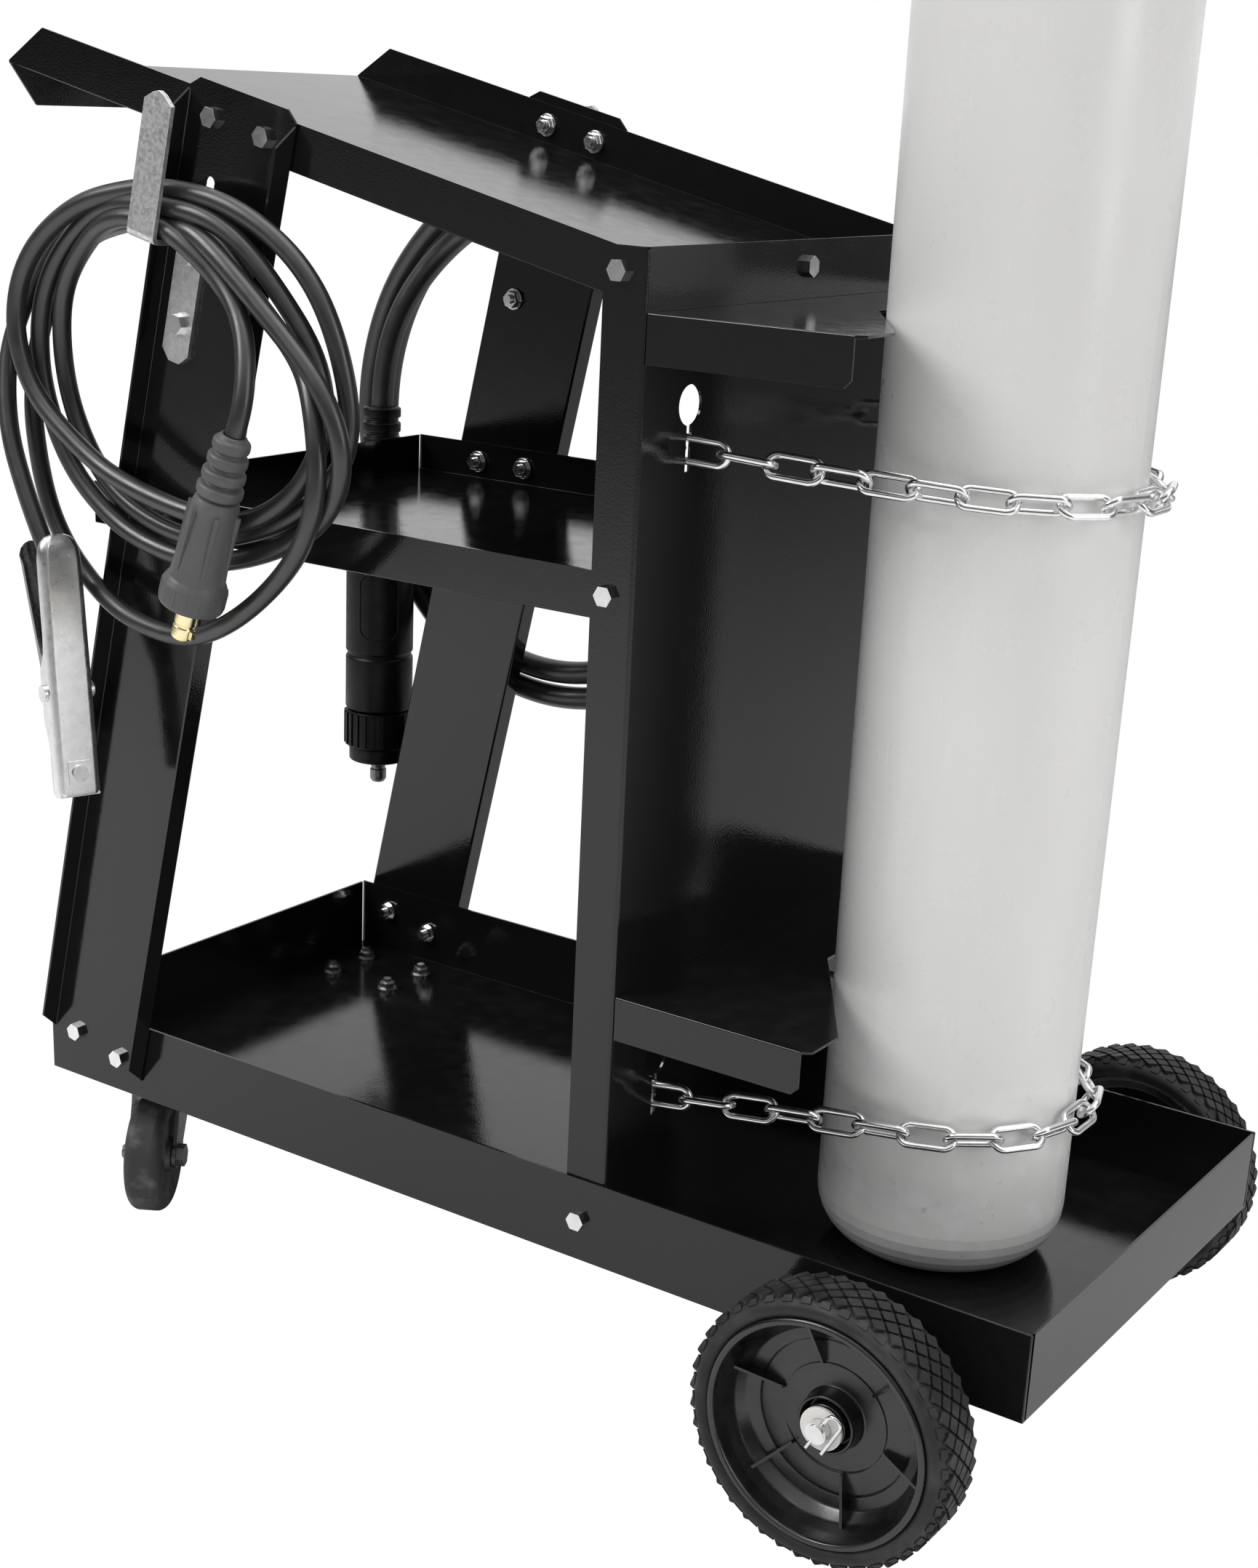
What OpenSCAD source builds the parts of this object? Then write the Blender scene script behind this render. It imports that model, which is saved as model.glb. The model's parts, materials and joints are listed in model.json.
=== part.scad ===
// Three-tier workshop trolley of folded sheet, with a chained gas cylinder and two hung leads.
// X runs from the front (casters) to the rear (cylinder), Y from the near side to the far side,
// Z is up. The origin is on the floor, at the middle of the trolley.

/* [Bottom tray] */
// Length of the bottom tray
tray_l = 700; // [690:5:760]
// Width of the bottom tray over its side rims
tray_w = 313; // [309:1:330]
// Height of the bottom tray's rims
tray_rim = 50; // [46:1:56]
// Thickness of every folded sheet
sheet = 1.5; // [1.2:0.1:2]
// Height of the bottom tray's underside above the floor
ride_h = 88; // [86:1:96]
// Gap left open at the folded corners
corner_gap = 2; // [1:0.5:4]

/* [Shelf and top tray] */
// Height of the middle shelf's underside above the bottom tray's underside
shelf_z = 366; // [350:1:385]
// Distance of the shelf's front edge behind the bottom tray's front
shelf_front = 50.5; // [46:0.5:60]
// Height of the shelf's and the top tray's rims
rim_h = 25; // [22:1:30]
// Length of the top tray along its slope
top_l = 460; // [450:5:480]
// Height of the top tray's rear edge above the bottom tray's underside
top_z = 523; // [515:1:526]
// Slope of the top tray and lean of the legs, in degrees
tilt = 12.6; // [12:0.1:13]

/* [Rear panel] */
// Distance of the panel's rear face behind the bottom tray's front
panel_x = 440; // [434:1:446]
// Height of the panel's top edge above the bottom tray's underside
panel_h = 553; // [550:1:560]
// Depth of the panel's side flanges
panel_flange = 26; // [24:1:32]
// Diameter of the keyholes that take the chains
keyhole_d = 21; // [20:0.5:24]
// Width of the keyhole slots
slot_w = 4.4; // [4.2:0.1:6]
// Distance of the keyholes from the middle plane
keyhole_y = 110; // [106:1:116]

/* [Front legs] */
// Width of each front leg
leg_w = 80; // [76:1:84]
// Depth of the leg's outward flanges
leg_flange = 12.5; // [10:0.5:13]
// Distance of the lower leg bolts behind the bottom tray's front
leg_x = 44.4; // [42:0.2:50]
// Distance between the lower and the upper leg bolts along the leg
leg_run = 582; // [578:1:586]

/* [Cable hooks] */
// Width of the hooks' flat bar
hook_w = 20; // [18:1:22]
// Thickness of the hooks' flat bar
hook_t = 3; // [2:0.5:3.5]
// Reach of the hooks from the leg to the outer face
hook_reach = 43; // [42:0.5:46]
// Height of the hooks' upturned end
hook_rise = 76; // [70:1:80]

/* [Cylinder brackets] */
// Depth of the brackets behind the panel
bracket_l = 121; // [118:1:124]
// Clearance between the notch's slanting sides and the cylinder
notch_gap = 2.8; // [2:0.1:3.4]
// Half-width of the notch at its bottom
notch_floor_y = 24; // [22:1:26]

/* [Gas cylinder] */
// Radius of the gas cylinder
cyl_r = 71; // [68:0.5:71.5]
// Height of the cylinder's shell
cyl_h = 850; // [760:5:900]
// Wall thickness of the cylinder's shell
cyl_wall = 4; // [3:0.5:6]
// Rounding of the cylinder's foot
foot_r = 32; // [24:1:36]
// Radius of the cylinder's neck
neck_r = 17; // [15:0.5:20]
// Diameter of the valve's handwheel
handwheel_d = 54; // [46:1:60]

/* [Rear wheels] */
// Radius of the rear tyres
tyre_r = 76; // [74:1:80]
// Radius where the tyre meets the rim
rim_r = 63.5; // [62:0.5:65]
// Width of the rear tyres
tyre_w = 37; // [34:1:40]
// Gap between the tray and the rear tyres
tyre_gap = 22.5; // [20:0.5:26]
// Distance of the axle behind the bottom tray's front
axle_x = 613; // [608:1:616]
// Diameter of the rear axle
axle_d = 12; // [10:0.5:13]
// Radial clearance of every turning fit
run_fit = 0.06; // [0.03:0.01:0.1]

/* [Casters] */
// Radius of the caster wheels
caster_r = 37.5; // [36:0.5:38]
// Width of the caster wheels
caster_w = 24; // [22:0.5:25]
// Trail of the caster wheels behind their swivel
caster_trail = 30; // [26:1:32]
// Distance of the caster swivels behind the bottom tray's front
caster_x = 53; // [50:1:58]
// Distance of the caster swivels from the middle plane
caster_y = 109; // [106:1:112]
// Thickness of the caster plates and forks
caster_t = 2.5; // [2:0.5:3]

/* [Fasteners] */
// Diameter of the frame bolts
bolt_d = 6; // [5:0.5:6.5]
// Width across flats of the frame bolts and nuts
bolt_af = 10; // [9:0.5:11]
// Diameter of the flange on each nut
nut_flange_d = 14; // [13:0.5:15]
// Radial clearance of the bolt holes
hole_clear = 0.3; // [0.2:0.1:0.5]

/* [Chains] */
// Wire diameter of the chain links
wire_d = 3.5; // [3:0.1:3.6]
// Pitch of the chain links
link_pitch = 26; // [25:0.5:27]
// Width of the chain links
link_w = 15.5; // [15:0.5:17]

/* [Earth lead] */
// Diameter of the earth cable
earth_d = 11; // [10:0.5:12]
// Inner half-width of the earth cable's coil
earth_coil_a = 104; // [98:1:108]
// Inner half-height of the earth cable's coil
earth_coil_b = 82; // [79:1:84]
// Depth of the earth cable's coil from its inside to its outside
earth_coil_t = 25; // [22:1:26]
// Width of the earth clamp's jaws
clamp_w = 27; // [25:1:30]
// Diameter of the earth plug's pin
plug_pin_d = 13; // [12:0.5:14]

/* [Torch lead] */
// Diameter of the torch cable
torch_d = 16; // [15:0.5:17]
// Inner radius of the torch cable's coil
torch_coil_r = 150; // [147:1:153]
// Radial depth of the torch cable's coil
torch_coil_t = 32; // [31:1:33]
// Radius of the torch lead's connector
conn_r = 24.5; // [23:0.5:25]
// Radius of the torch handle
handle_r = 16; // [15:0.5:18]

/* [Hidden] */
$fn = 48;

// --- the planes that the sheets share ---
side_y = tray_w / 2;
panel_y = side_y - sheet;
inner_y = panel_y - sheet;
lip_h = rim_h - sheet;
front_overhang = top_l * cos(tilt) + lip_h * sin(tilt) - panel_x;
front_x = -(tray_l - front_overhang) / 2;
deck = ride_h;
panel_front = panel_x - sheet;

// --- bolt places ---
bolt_pair = 19.4;
leg_foot_z = 28;
post_x = panel_x - 16;
post_zs = [tray_rim / 2, shelf_z + rim_h / 2 + 1, top_z + 18];
shelf_bolt_x = 122;
shelf_bolt_z = shelf_z + rim_h / 2;
head_h = 4;
nut_h = 5.5;
nut_flange_t = 1.5;
bolt_stub = 3;

// --- leg frame: the web's inner face touches the bottom tray's rim and the top tray's rim ---
leg_top_z = top_z + rim_h + (panel_x - leg_x) * sin(tilt);
leg_slope = (side_y - inner_y) / (leg_top_z - tray_rim);
splay = atan(leg_slope);
contact = 0.02;
leg_y = side_y + (tray_rim - leg_foot_z) * leg_slope + contact;
leg_end = 18;
top_bolt_w = (panel_x - leg_x) * sin(tilt) + (top_z - leg_foot_z) * cos(tilt) + rim_h / 2;
web_lo = -12;
web_hi = leg_run + leg_end;
fold_lo = -7;
fold_hi = leg_run + 12;
mitre = leg_flange;
hook_u = -19;
hook_bolt_ws = [leg_run - 114, leg_run - 75];
hook_foot = leg_run - 136;
hook_seat = leg_run - 63;
bar_round = 6;
sight_slot = [-14.4, leg_run - 35];

// --- cylinder, brackets and chains ---
cyl_x = panel_x + (tray_l - panel_x) / 2;
cyl_lift = 0.1;
upper_hole_z = 474;
lower_hole_z = 112.5;
upper_bracket_z = upper_hole_z + 46.5;
lower_bracket_z = lower_hole_z + 48.5;
bracket_bolt_y = 70;
bracket_bolt_drop = 13;
keyhole_drop = 34;
chain_drop = 22;
chain_gap = 3;
link_slack = 0.4;
link_in = link_pitch + link_slack;

// --- rear wheels and axle ---
axle_z = tyre_r - deck;
tyre_in = side_y + tyre_gap;
tyre_out = tyre_in + tyre_w;
hub_inset = 11;
hub_out = tyre_out - hub_inset;
hub_in = tyre_in - 3;
washer_t = 2;
saddle_y = side_y - 26;
saddle_t = 2.5;
saddle_w = 36;
saddle_half = 34;
clip_wire = 2.3;
clip_turn = 28;
pin_y = hub_out + washer_t + 2.5;
axle_end = pin_y + 4;

// --- casters ---
caster_fork_z = caster_r * 2 + 3;
near_swivel_a = -59;
far_swivel_a = -32;

// --- leads: their places are measured from the inner front corner of the hook they hang on ---
hook_x = leg_x + (hook_u - hook_w / 2) * cos(tilt) + hook_seat * sin(tilt);
hook_z = leg_foot_z - (hook_u - hook_w / 2) * sin(tilt) + hook_seat * cos(tilt);
lead_y = side_y + leg_flange + sheet - 14;
coil_clear = 0.3;
earth_coil_x = 24;
earth_coil_y = -24;
earth_coil_w = 22;
torch_coil_x = 14;
torch_coil_y = 28.5;
torch_coil_w = 16;
torch_swing = 5.5;
plug_at = [48, -54, -215];
plug_lean = 19.5;
clamp_at = [-56.5, -44, -266];
clamp_lean = -6.7;
clamp_turn = -19;
clamp_open = 16;
conn_at = [-124, 8.5, -413];
torch_at = [226, 15.5, -141];
torch_lean = 8;

// ---------- helpers ----------

function turn(p, a) = [p[0] * cos(a) - p[1] * sin(a), p[0] * sin(a) + p[1] * cos(a)];
function arc(c, r, a0, a1, n = 6) =
    [for (i = [0:n]) c + r * [cos(a0 + (a1 - a0) * i / n), sin(a0 + (a1 - a0) * i / n)]];

// A place given in the bottom tray's coordinates: distance behind its front, y, height above it.
module at_tray(p) translate([front_x + p[0], p[1], deck + p[2]]) children();

module both_sides() {
    children();
    mirror([0, 1, 0]) children();
}

// The corner of the near and of the far hook's seat that the coils bear on.
module near_lead() at_tray([hook_x, -lead_y, hook_z]) children();
module far_lead() at_tray([hook_x, lead_y, hook_z]) children();

// The leaning, slightly splayed frame of the near leg: x across the web, -y outwards, z along it.
module leg_frame() {
    at_tray([leg_x, -leg_y, leg_foot_z]) rotate([-splay, 0, 0]) rotate([0, tilt, 0]) children();
}

// The sloping frame of the top tray, with x = 0 at the panel's rear face.
module top_frame() at_tray([panel_x, 0, top_z]) rotate([0, tilt, 0]) children();

// A flat plate in the x-z plane whose thickness runs towards -y.
module upright(points, t) rotate([90, 0, 0]) linear_extrude(t) polygon(points);

// A flat plate in the y-z plane whose thickness runs towards +x.
module crosswise(points, t) rotate([90, 0, 90]) linear_extrude(t) polygon(points);

// A hole along y through everything near y = 0.
module hole_y(x, z, d, reach = 40) {
    translate([x, 0, z]) rotate([90, 0, 0]) cylinder(d = d, h = 2 * reach, center = true);
}

function bolt_hole() = bolt_d + 2 * hole_clear;

module hexagon(af, h) cylinder(d = af / cos(30), h = h, $fn = 6);

// Hex head bolt whose head sits on z = 0 and whose shank runs to z = -grip.
module bolt(grip, d = bolt_d, af = bolt_af) {
    hexagon(af, head_h);
    translate([0, 0, -grip]) cylinder(d = d, h = grip + head_h / 2);
}

// Flange nut below z = 0, round a shank of the same diameter.
module nut(d = bolt_d, af = bolt_af, flange = nut_flange_d) {
    difference() {
        union() {
            translate([0, 0, -nut_flange_t]) cylinder(d = flange, h = nut_flange_t);
            translate([0, 0, -nut_h]) hexagon(af, nut_h);
        }
        translate([0, 0, -nut_h - 1]) cylinder(d = d, h = nut_h + 2);
    }
}

// Outward-facing axis for a fastener on a near side face: local +z points to -y.
module outward(x, z) translate([x, 0, z]) rotate([90, 0, 0]) children();

// ---------- sheet-metal frame ----------

// Open tray of folded sheet from x = 0 to l, with the corners slit.
module folded_tray(l, half_w, h, rear_rim) {
    translate([0, -half_w, 0]) cube([l, 2 * half_w, sheet]);
    for (s = [-1, 1]) {
        translate([0, s * (half_w - sheet / 2) - sheet / 2, 0]) cube([l, sheet, h]);
    }
    end_w = 2 * (half_w - sheet - corner_gap);
    for (x = rear_rim ? [0, l - sheet] : [0]) {
        translate([x, -end_w / 2, 0]) cube([sheet, end_w, h]);
    }
}

module side_holes(xzs, half_w) {
    for (s = [-1, 1], p = xzs) {
        translate([0, s * half_w, 0]) hole_y(p[0], p[1], bolt_hole(), 8);
    }
}

// The two bolts of a leg at height w along it, in the leg frame.
module leg_bolt_spots(w) for (u = [-bolt_pair, bolt_pair]) translate([u, 0, w]) children();

module leg_bolt_drills(w) {
    both_sides() leg_frame() leg_bolt_spots(w) hole_y(0, 0, bolt_hole(), 10);
}

module shelf_bolt_spots() {
    for (dx = [-bolt_pair, bolt_pair]) {
        at_tray([shelf_bolt_x + dx, 0, shelf_bolt_z]) children();
    }
}

caster_holes = [for (x = [-26, 26], y = [-19, 19]) [x, y]];

module bottom_tray() color("#26282a") difference() {
    at_tray([0, 0, 0]) folded_tray(tray_l, side_y, tray_rim, true);
    leg_bolt_drills(0);
    at_tray([0, 0, 0]) side_holes([[post_x, post_zs[0]]], side_y);
    for (s = [-1, 1]) {
        at_tray([caster_x, s * caster_y, -1]) for (p = caster_holes) {
            translate(p) cylinder(d = bolt_hole(), h = sheet + 2);
        }
    }
}

module middle_shelf() color("#26282a") difference() {
    at_tray([shelf_front, 0, shelf_z]) {
        folded_tray(panel_front - shelf_front - corner_gap, inner_y, rim_h, false);
    }
    at_tray([0, 0, 0]) side_holes([[post_x, post_zs[1]]], inner_y);
    shelf_bolt_spots() for (s = [-1, 1]) translate([0, s * inner_y, 0]) {
        hole_y(0, 0, bolt_hole(), 8);
    }
}

module top_tray() color("#2b2d30") difference() {
    union() {
        top_frame() {
            translate([-top_l, -inner_y, 0]) cube([top_l, 2 * inner_y, sheet]);
            rim = [[-top_l, 0], [8, 0], [8, rim_h], [-top_l + lip_h, rim_h], [-top_l, sheet]];
            translate([0, -inner_y + sheet, 0]) upright(rim, sheet);
            translate([0, inner_y, 0]) upright(rim, sheet);
            lip = [[-inner_y, sheet], [inner_y, sheet], [inner_y, 0],
                [inner_y - lip_h, -lip_h], [-inner_y + lip_h, -lip_h], [-inner_y, 0]];
            translate([-top_l, 0, 0]) crosswise(lip, sheet);
        }
        rear_w = 2 * (inner_y - sheet - corner_gap);
        at_tray([panel_front - sheet, -rear_w / 2, top_z + 0.6]) cube([sheet, rear_w, rim_h]);
    }
    at_tray([panel_front, -tray_w / 2, 0]) cube([40, tray_w, 2 * panel_h]);
    at_tray([0, 0, 0]) side_holes([[post_x, post_zs[2]]], inner_y);
    at_tray([panel_front, 0, top_z + 16]) {
        rotate([0, 90, 0]) cylinder(d = bolt_hole(), h = 12, center = true);
    }
    leg_bolt_drills(top_bolt_w);
}

module keyhole(z) {
    for (s = [-1, 1]) at_tray([panel_x, s * keyhole_y, z]) {
        rotate([0, 90, 0]) cylinder(d = keyhole_d, h = 12, center = true);
        translate([-6, -slot_w / 2, -keyhole_drop]) cube([12, slot_w, keyhole_drop]);
    }
}

module rear_panel() color("#1f2022") difference() {
    at_tray([0, 0, 0]) {
        translate([panel_front, -panel_y, sheet]) cube([sheet, 2 * panel_y, panel_h - sheet]);
        both_sides() translate([panel_x - panel_flange, -panel_y, sheet]) {
            cube([panel_flange, sheet, panel_h - sheet]);
        }
    }
    keyhole(upper_hole_z);
    keyhole(lower_hole_z);
    at_tray([0, 0, 0]) side_holes([for (z = post_zs) [post_x, z]], panel_y);
    at_tray([panel_x, 0, top_z + 16]) {
        rotate([0, 90, 0]) cylinder(d = bolt_hole(), h = 12, center = true);
    }
    for (z = [upper_bracket_z, lower_bracket_z], s = [-1, 1]) {
        at_tray([panel_x, s * bracket_bolt_y, z - bracket_bolt_drop]) {
            rotate([0, 90, 0]) cylinder(d = bolt_hole(), h = 12, center = true);
        }
    }
}

module leg() difference() {
    h = leg_w / 2;
    c = 8;
    leg_frame() {
        upright([[-h, fold_lo], [-h + c, web_lo], [h - c, web_lo], [h, fold_lo],
            [h, fold_hi], [h - c, web_hi], [-h + c, web_hi], [-h, fold_hi]], sheet);
        flange = [[0, fold_lo], [0, fold_hi], [-leg_flange - sheet, fold_hi - mitre],
            [-leg_flange - sheet, fold_lo + mitre]];
        for (x = [-h, h - sheet]) translate([x, 0, 0]) crosswise(flange, sheet);
    }
    leg_frame() {
        for (w = [0, top_bolt_w]) leg_bolt_spots(w) hole_y(0, 0, bolt_hole());
        for (w = hook_bolt_ws) hole_y(hook_u, w, bolt_hole());
        for (dw = [-1, 1]) hole_y(sight_slot[0], sight_slot[1] + dw, 7);
    }
    shelf_bolt_spots() translate([0, -side_y, 0]) hole_y(0, 0, bolt_hole(), 20);
}

module near_leg() color("#1f2022") leg();
module far_leg() color("#1f2022") mirror([0, 1, 0]) leg();

// Flat bar bent into a J: a foot on the leg, a seat for the cable and an upturned end.
module cable_hook() difference() {
    h = hook_w / 2;
    y0 = -sheet;
    y1 = y0 - hook_reach;
    tip = hook_seat + hook_rise;
    leg_frame() translate([hook_u, 0, 0]) {
        foot = [[-h, hook_foot + bar_round], [-h + bar_round, hook_foot],
            [h - bar_round, hook_foot], [h, hook_foot + bar_round], [h, hook_seat], [-h, hook_seat]];
        translate([0, y0, 0]) upright(foot, hook_t);
        translate([-h, y1, hook_seat - hook_t]) cube([hook_w, hook_reach, hook_t]);
        end = [[-h, hook_seat - hook_t], [h, hook_seat - hook_t], [h, tip - bar_round],
            [h - bar_round, tip - 1.5], [0, tip], [-h + bar_round, tip - 1.5], [-h, tip - bar_round]];
        translate([0, y1 + hook_t, 0]) upright(end, hook_t);
    }
    leg_frame() for (w = hook_bolt_ws) hole_y(hook_u, w, bolt_hole(), 12);
}

module near_cable_hook() color("#b9bcbf") cable_hook();
module far_cable_hook() color("#b9bcbf") mirror([0, 1, 0]) cable_hook();

// The notch: its flat bottom stands just clear of the cylinder, and its sides run past it.
notch_x = cyl_x - panel_x - cyl_r - 1.2;
notch_from = [cyl_x - panel_x - notch_x, -notch_floor_y];
notch_a = atan2(notch_from[1], notch_from[0]) + asin((cyl_r + notch_gap) / norm(notch_from));
notch_mouth_y = notch_floor_y + (bracket_l - notch_x) * tan(notch_a);

// Horizontal plate behind the panel, notched for the cylinder, with three flanges folded down.
module cylinder_bracket(z) difference() {
    at_tray([panel_x, 0, z]) {
        w = panel_y - 1;
        side_l = bracket_l - 5;
        c = 4;
        linear_extrude(sheet) polygon([[0, -w], [side_l, -w], [bracket_l, -w + c],
            [bracket_l, -notch_mouth_y], [notch_x, -notch_floor_y], [notch_x, notch_floor_y],
            [bracket_l, notch_mouth_y], [bracket_l, w - c], [side_l, w], [0, w]]);
        side = [[0, sheet], [side_l, sheet], [side_l, -lip_h + c], [side_l - c, -lip_h], [0, -lip_h]];
        translate([0, -w + sheet, 0]) upright(side, sheet);
        translate([0, w, 0]) upright(side, sheet);
        translate([0, -w + 10, -lip_h]) cube([sheet, 2 * w - 20, rim_h]);
    }
    for (s = [-1, 1]) at_tray([panel_x, s * bracket_bolt_y, z - bracket_bolt_drop]) {
        rotate([0, 90, 0]) cylinder(d = bolt_hole(), h = 12, center = true);
    }
}

module upper_cylinder_bracket() color("#232527") cylinder_bracket(upper_bracket_z);
module lower_cylinder_bracket() color("#232527") cylinder_bracket(lower_bracket_z);

// ---------- fasteners of the frame ----------

// Calls its children, whose +z points outwards, at every through-bolted joint of the near side.
module near_joints(place) {
    if (place == "leg") {
        leg_frame() for (w = [0, top_bolt_w]) leg_bolt_spots(w) translate([0, -sheet, 0]) {
            outward(0, 0) children();
        }
    }
    if (place == "shelf") {
        y = side_y + (tray_rim - shelf_bolt_z) * leg_slope + sheet + 0.1;
        shelf_bolt_spots() translate([0, -y, 0]) outward(0, 0) children();
    }
    if (place == "post") for (z = post_zs) {
        y = z == post_zs[0] ? side_y : panel_y;
        at_tray([post_x, -y, z]) outward(0, 0) children();
    }
    if (place == "hook") {
        leg_frame() for (w = hook_bolt_ws) translate([0, -sheet - hook_t, 0]) {
            outward(hook_u, w) children();
        }
    }
}

grip = 2 * sheet;
nut_seat = 0.05;
leg_seat = 0.35;
shelf_grip = grip + (tray_rim - shelf_bolt_z) * leg_slope + side_y - inner_y + 0.1;
shank = nut_h + bolt_stub;

// The bolts through the panel: one into the top tray and two into each bracket.
module panel_joints() {
    at_tray([panel_x, 0, top_z + 16]) rotate([0, 90, 0]) children();
    for (z = [upper_bracket_z, lower_bracket_z], s = [-1, 1]) {
        at_tray([panel_x + sheet, s * bracket_bolt_y, z - bracket_bolt_drop]) {
            rotate([0, 90, 0]) children();
        }
    }
}

module frame_bolts() color("#c9ccd0") {
    both_sides() {
        near_joints("leg") bolt(grip + leg_seat + shank);
        near_joints("shelf") bolt(shelf_grip + shank);
        near_joints("post") bolt(grip + shank);
        near_joints("hook") bolt(hook_t + sheet + shank);
    }
    panel_joints() bolt(grip + shank);
}

module frame_nuts() color("#bfc2c6") {
    both_sides() {
        near_joints("leg") translate([0, 0, -grip - leg_seat]) nut();
        near_joints("shelf") translate([0, 0, -shelf_grip - nut_seat]) nut();
        near_joints("post") translate([0, 0, -grip - nut_seat]) nut();
        near_joints("hook") translate([0, 0, -hook_t - sheet - nut_seat]) nut();
    }
    panel_joints() translate([0, 0, -grip - nut_seat]) nut();
}

// ---------- rear axle and wheels ----------

// Folded saddle welded under the tray: a top plate and two ears that carry the axle.
module axle_saddle() difference() {
    ear_h = -axle_z + axle_d / 2 + 8;
    union() {
        translate([-saddle_half, -saddle_w / 2, -saddle_t]) {
            cube([2 * saddle_half, saddle_w, saddle_t]);
        }
        for (y = [-saddle_w / 2 + saddle_t, saddle_w / 2]) translate([0, y, 0]) {
            upright([[-saddle_half, 0], [saddle_half, 0], [saddle_half, -8],
                [axle_d, -ear_h], [-axle_d, -ear_h], [-saddle_half, -8]], saddle_t);
        }
    }
    hole_y(0, axle_z, axle_d);
}

module axle_brackets() color("#26282a") for (s = [-1, 1]) {
    at_tray([axle_x, s * saddle_y, 0]) axle_saddle();
}

module wheel_axle() color("#c4c7ca") difference() {
    at_tray([axle_x, 0, axle_z]) rotate([90, 0, 0]) {
        cylinder(d = axle_d, h = 2 * axle_end - 2, center = true);
        cylinder(d = axle_d - 2, h = 2 * axle_end, center = true);
    }
    for (s = [-1, 1]) at_tray([axle_x, s * pin_y, axle_z]) rotate([0, clip_turn, 0]) {
        cylinder(d = clip_wire + 0.3, h = 2 * axle_d, center = true);
    }
}

// A ring on the axle from y0 to y1, on the near side.
module axle_ring(d, y0, y1) at_tray([axle_x, -y0, axle_z]) rotate([90, 0, 0]) difference() {
    cylinder(d = d, h = y1 - y0);
    translate([0, 0, -1]) cylinder(d = axle_d, h = y1 - y0 + 2);
}

// Outer washers, inner washers and the spacer tubes between the saddles and the wheels.
module axle_washers() color("#d7d9db") both_sides() {
    end_play = 0.1;
    axle_ring(2 * axle_d, hub_out + end_play, hub_out + end_play + washer_t);
    axle_ring(2 * axle_d, hub_in - end_play - washer_t, hub_in - end_play);
    axle_ring(axle_d + 7, saddle_y + saddle_w / 2 + end_play, hub_in - washer_t - 2 * end_play);
}

// Sprung wire pin: a straight leg through the axle and a humped leg round it.
module hairpin() {
    r = clip_wire / 2;
    reach = axle_d / 2 + 4;
    gap = axle_d / 2 + 2.2;
    translate([0, 0, -reach - 3]) cylinder(r = r, h = 2 * reach + 3);
    translate([gap, 0, -reach + 1]) cylinder(r = r, h = 2 * reach - 1);
    translate([gap / 2, 0, reach]) rotate([90, 0, 0]) {
        rotate_extrude(angle = 180) translate([gap / 2, 0]) circle(r = r, $fn = 16);
    }
}

module hairpin_clips() color("#dadcde") both_sides() {
    at_tray([axle_x, -pin_y, axle_z]) rotate([0, clip_turn, 0]) hairpin();
}

// Rim section from the hub's bore to the tyre seat, with x = radius and y = towards the outside.
function rim_section() = let (w = tyre_w, dish = 12, lip = 4.5, hub = 14.5, plate = 3, out = w - hub_inset)
    [[axle_d / 2 + run_fit, -3], [hub, -3], [hub, dish], [rim_r - lip, dish],
     [rim_r - lip, 3], [rim_r, 3], [rim_r, w - 1.5], [rim_r - 1.5, w], [rim_r - lip, w],
     [rim_r - lip - 3, w - 8], [rim_r - lip - 6, dish + plate], [29, dish + plate],
     [27, dish + plate + 4], [hub + 1, dish + plate + 4], [hub, out], [axle_d / 2 + run_fit, out]];

module wheel_frame() at_tray([axle_x, -tyre_in, axle_z]) rotate([90, 0, 0]) children();

module rim() wheel_frame() {
    rotate_extrude($fn = 96) polygon(rim_section());
    for (a = [45:60:345]) rotate([0, 0, a]) translate([28, -1.2, 14]) cube([27, 2.4, 14]);
}

function tyre_section() = let (w = tyre_w, r = tyre_r, s = 7)
    concat([[rim_r, 2]], arc([r - s, s], s, -80, 0), arc([r - s, w - s], s, 0, 80),
        [[rim_r + 2, w + 0.5], [rim_r, w - 1]]);

module tyre() wheel_frame() rotate_extrude($fn = 96) polygon(tyre_section());

module near_wheel_rim() color("#17181a") rim();
module near_wheel_tyre() color("#2a2b2c") tyre();
module far_wheel_rim() color("#17181a") mirror([0, 1, 0]) rim();
module far_wheel_tyre() color("#2a2b2c") mirror([0, 1, 0]) tyre();

// ---------- casters ----------

kingpin_d = 10;
caster_axle_d = 8;
fork_in = caster_w / 2 + 1.5;
crown_r = 21;
plate_z = ride_h - caster_t;
crown_z = caster_fork_z + caster_t;

// A caster's swivel frame: z = 0 on the floor, x towards its wheel.
module swivel(side, a) translate([front_x + caster_x, side * caster_y, 0]) {
    rotate([0, 0, a]) children();
}

module caster_plates() color("#3a3d40") for (s = [-1, 1]) difference() {
    swivel(s, 0) {
        translate([-34, -27, plate_z]) cube([68, 54, caster_t]);
        translate([0, 0, crown_z + 0.2]) cylinder(r = crown_r - 3, h = plate_z - crown_z - 0.2);
    }
    swivel(s, 0) {
        for (p = caster_holes) translate([p[0], p[1], plate_z - 1]) {
            cylinder(d = bolt_hole(), h = caster_t + 2);
        }
        translate([0, 0, caster_fork_z]) cylinder(d = kingpin_d, h = ride_h);
    }
}

module caster_kingpins() color("#8d9094") for (s = [-1, 1]) swivel(s, 0) {
    translate([0, 0, caster_fork_z - 2.2]) cylinder(d = kingpin_d + 6, h = 2);
    translate([0, 0, caster_fork_z - 1]) cylinder(d = kingpin_d, h = ride_h - caster_fork_z + 1);
}

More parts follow.
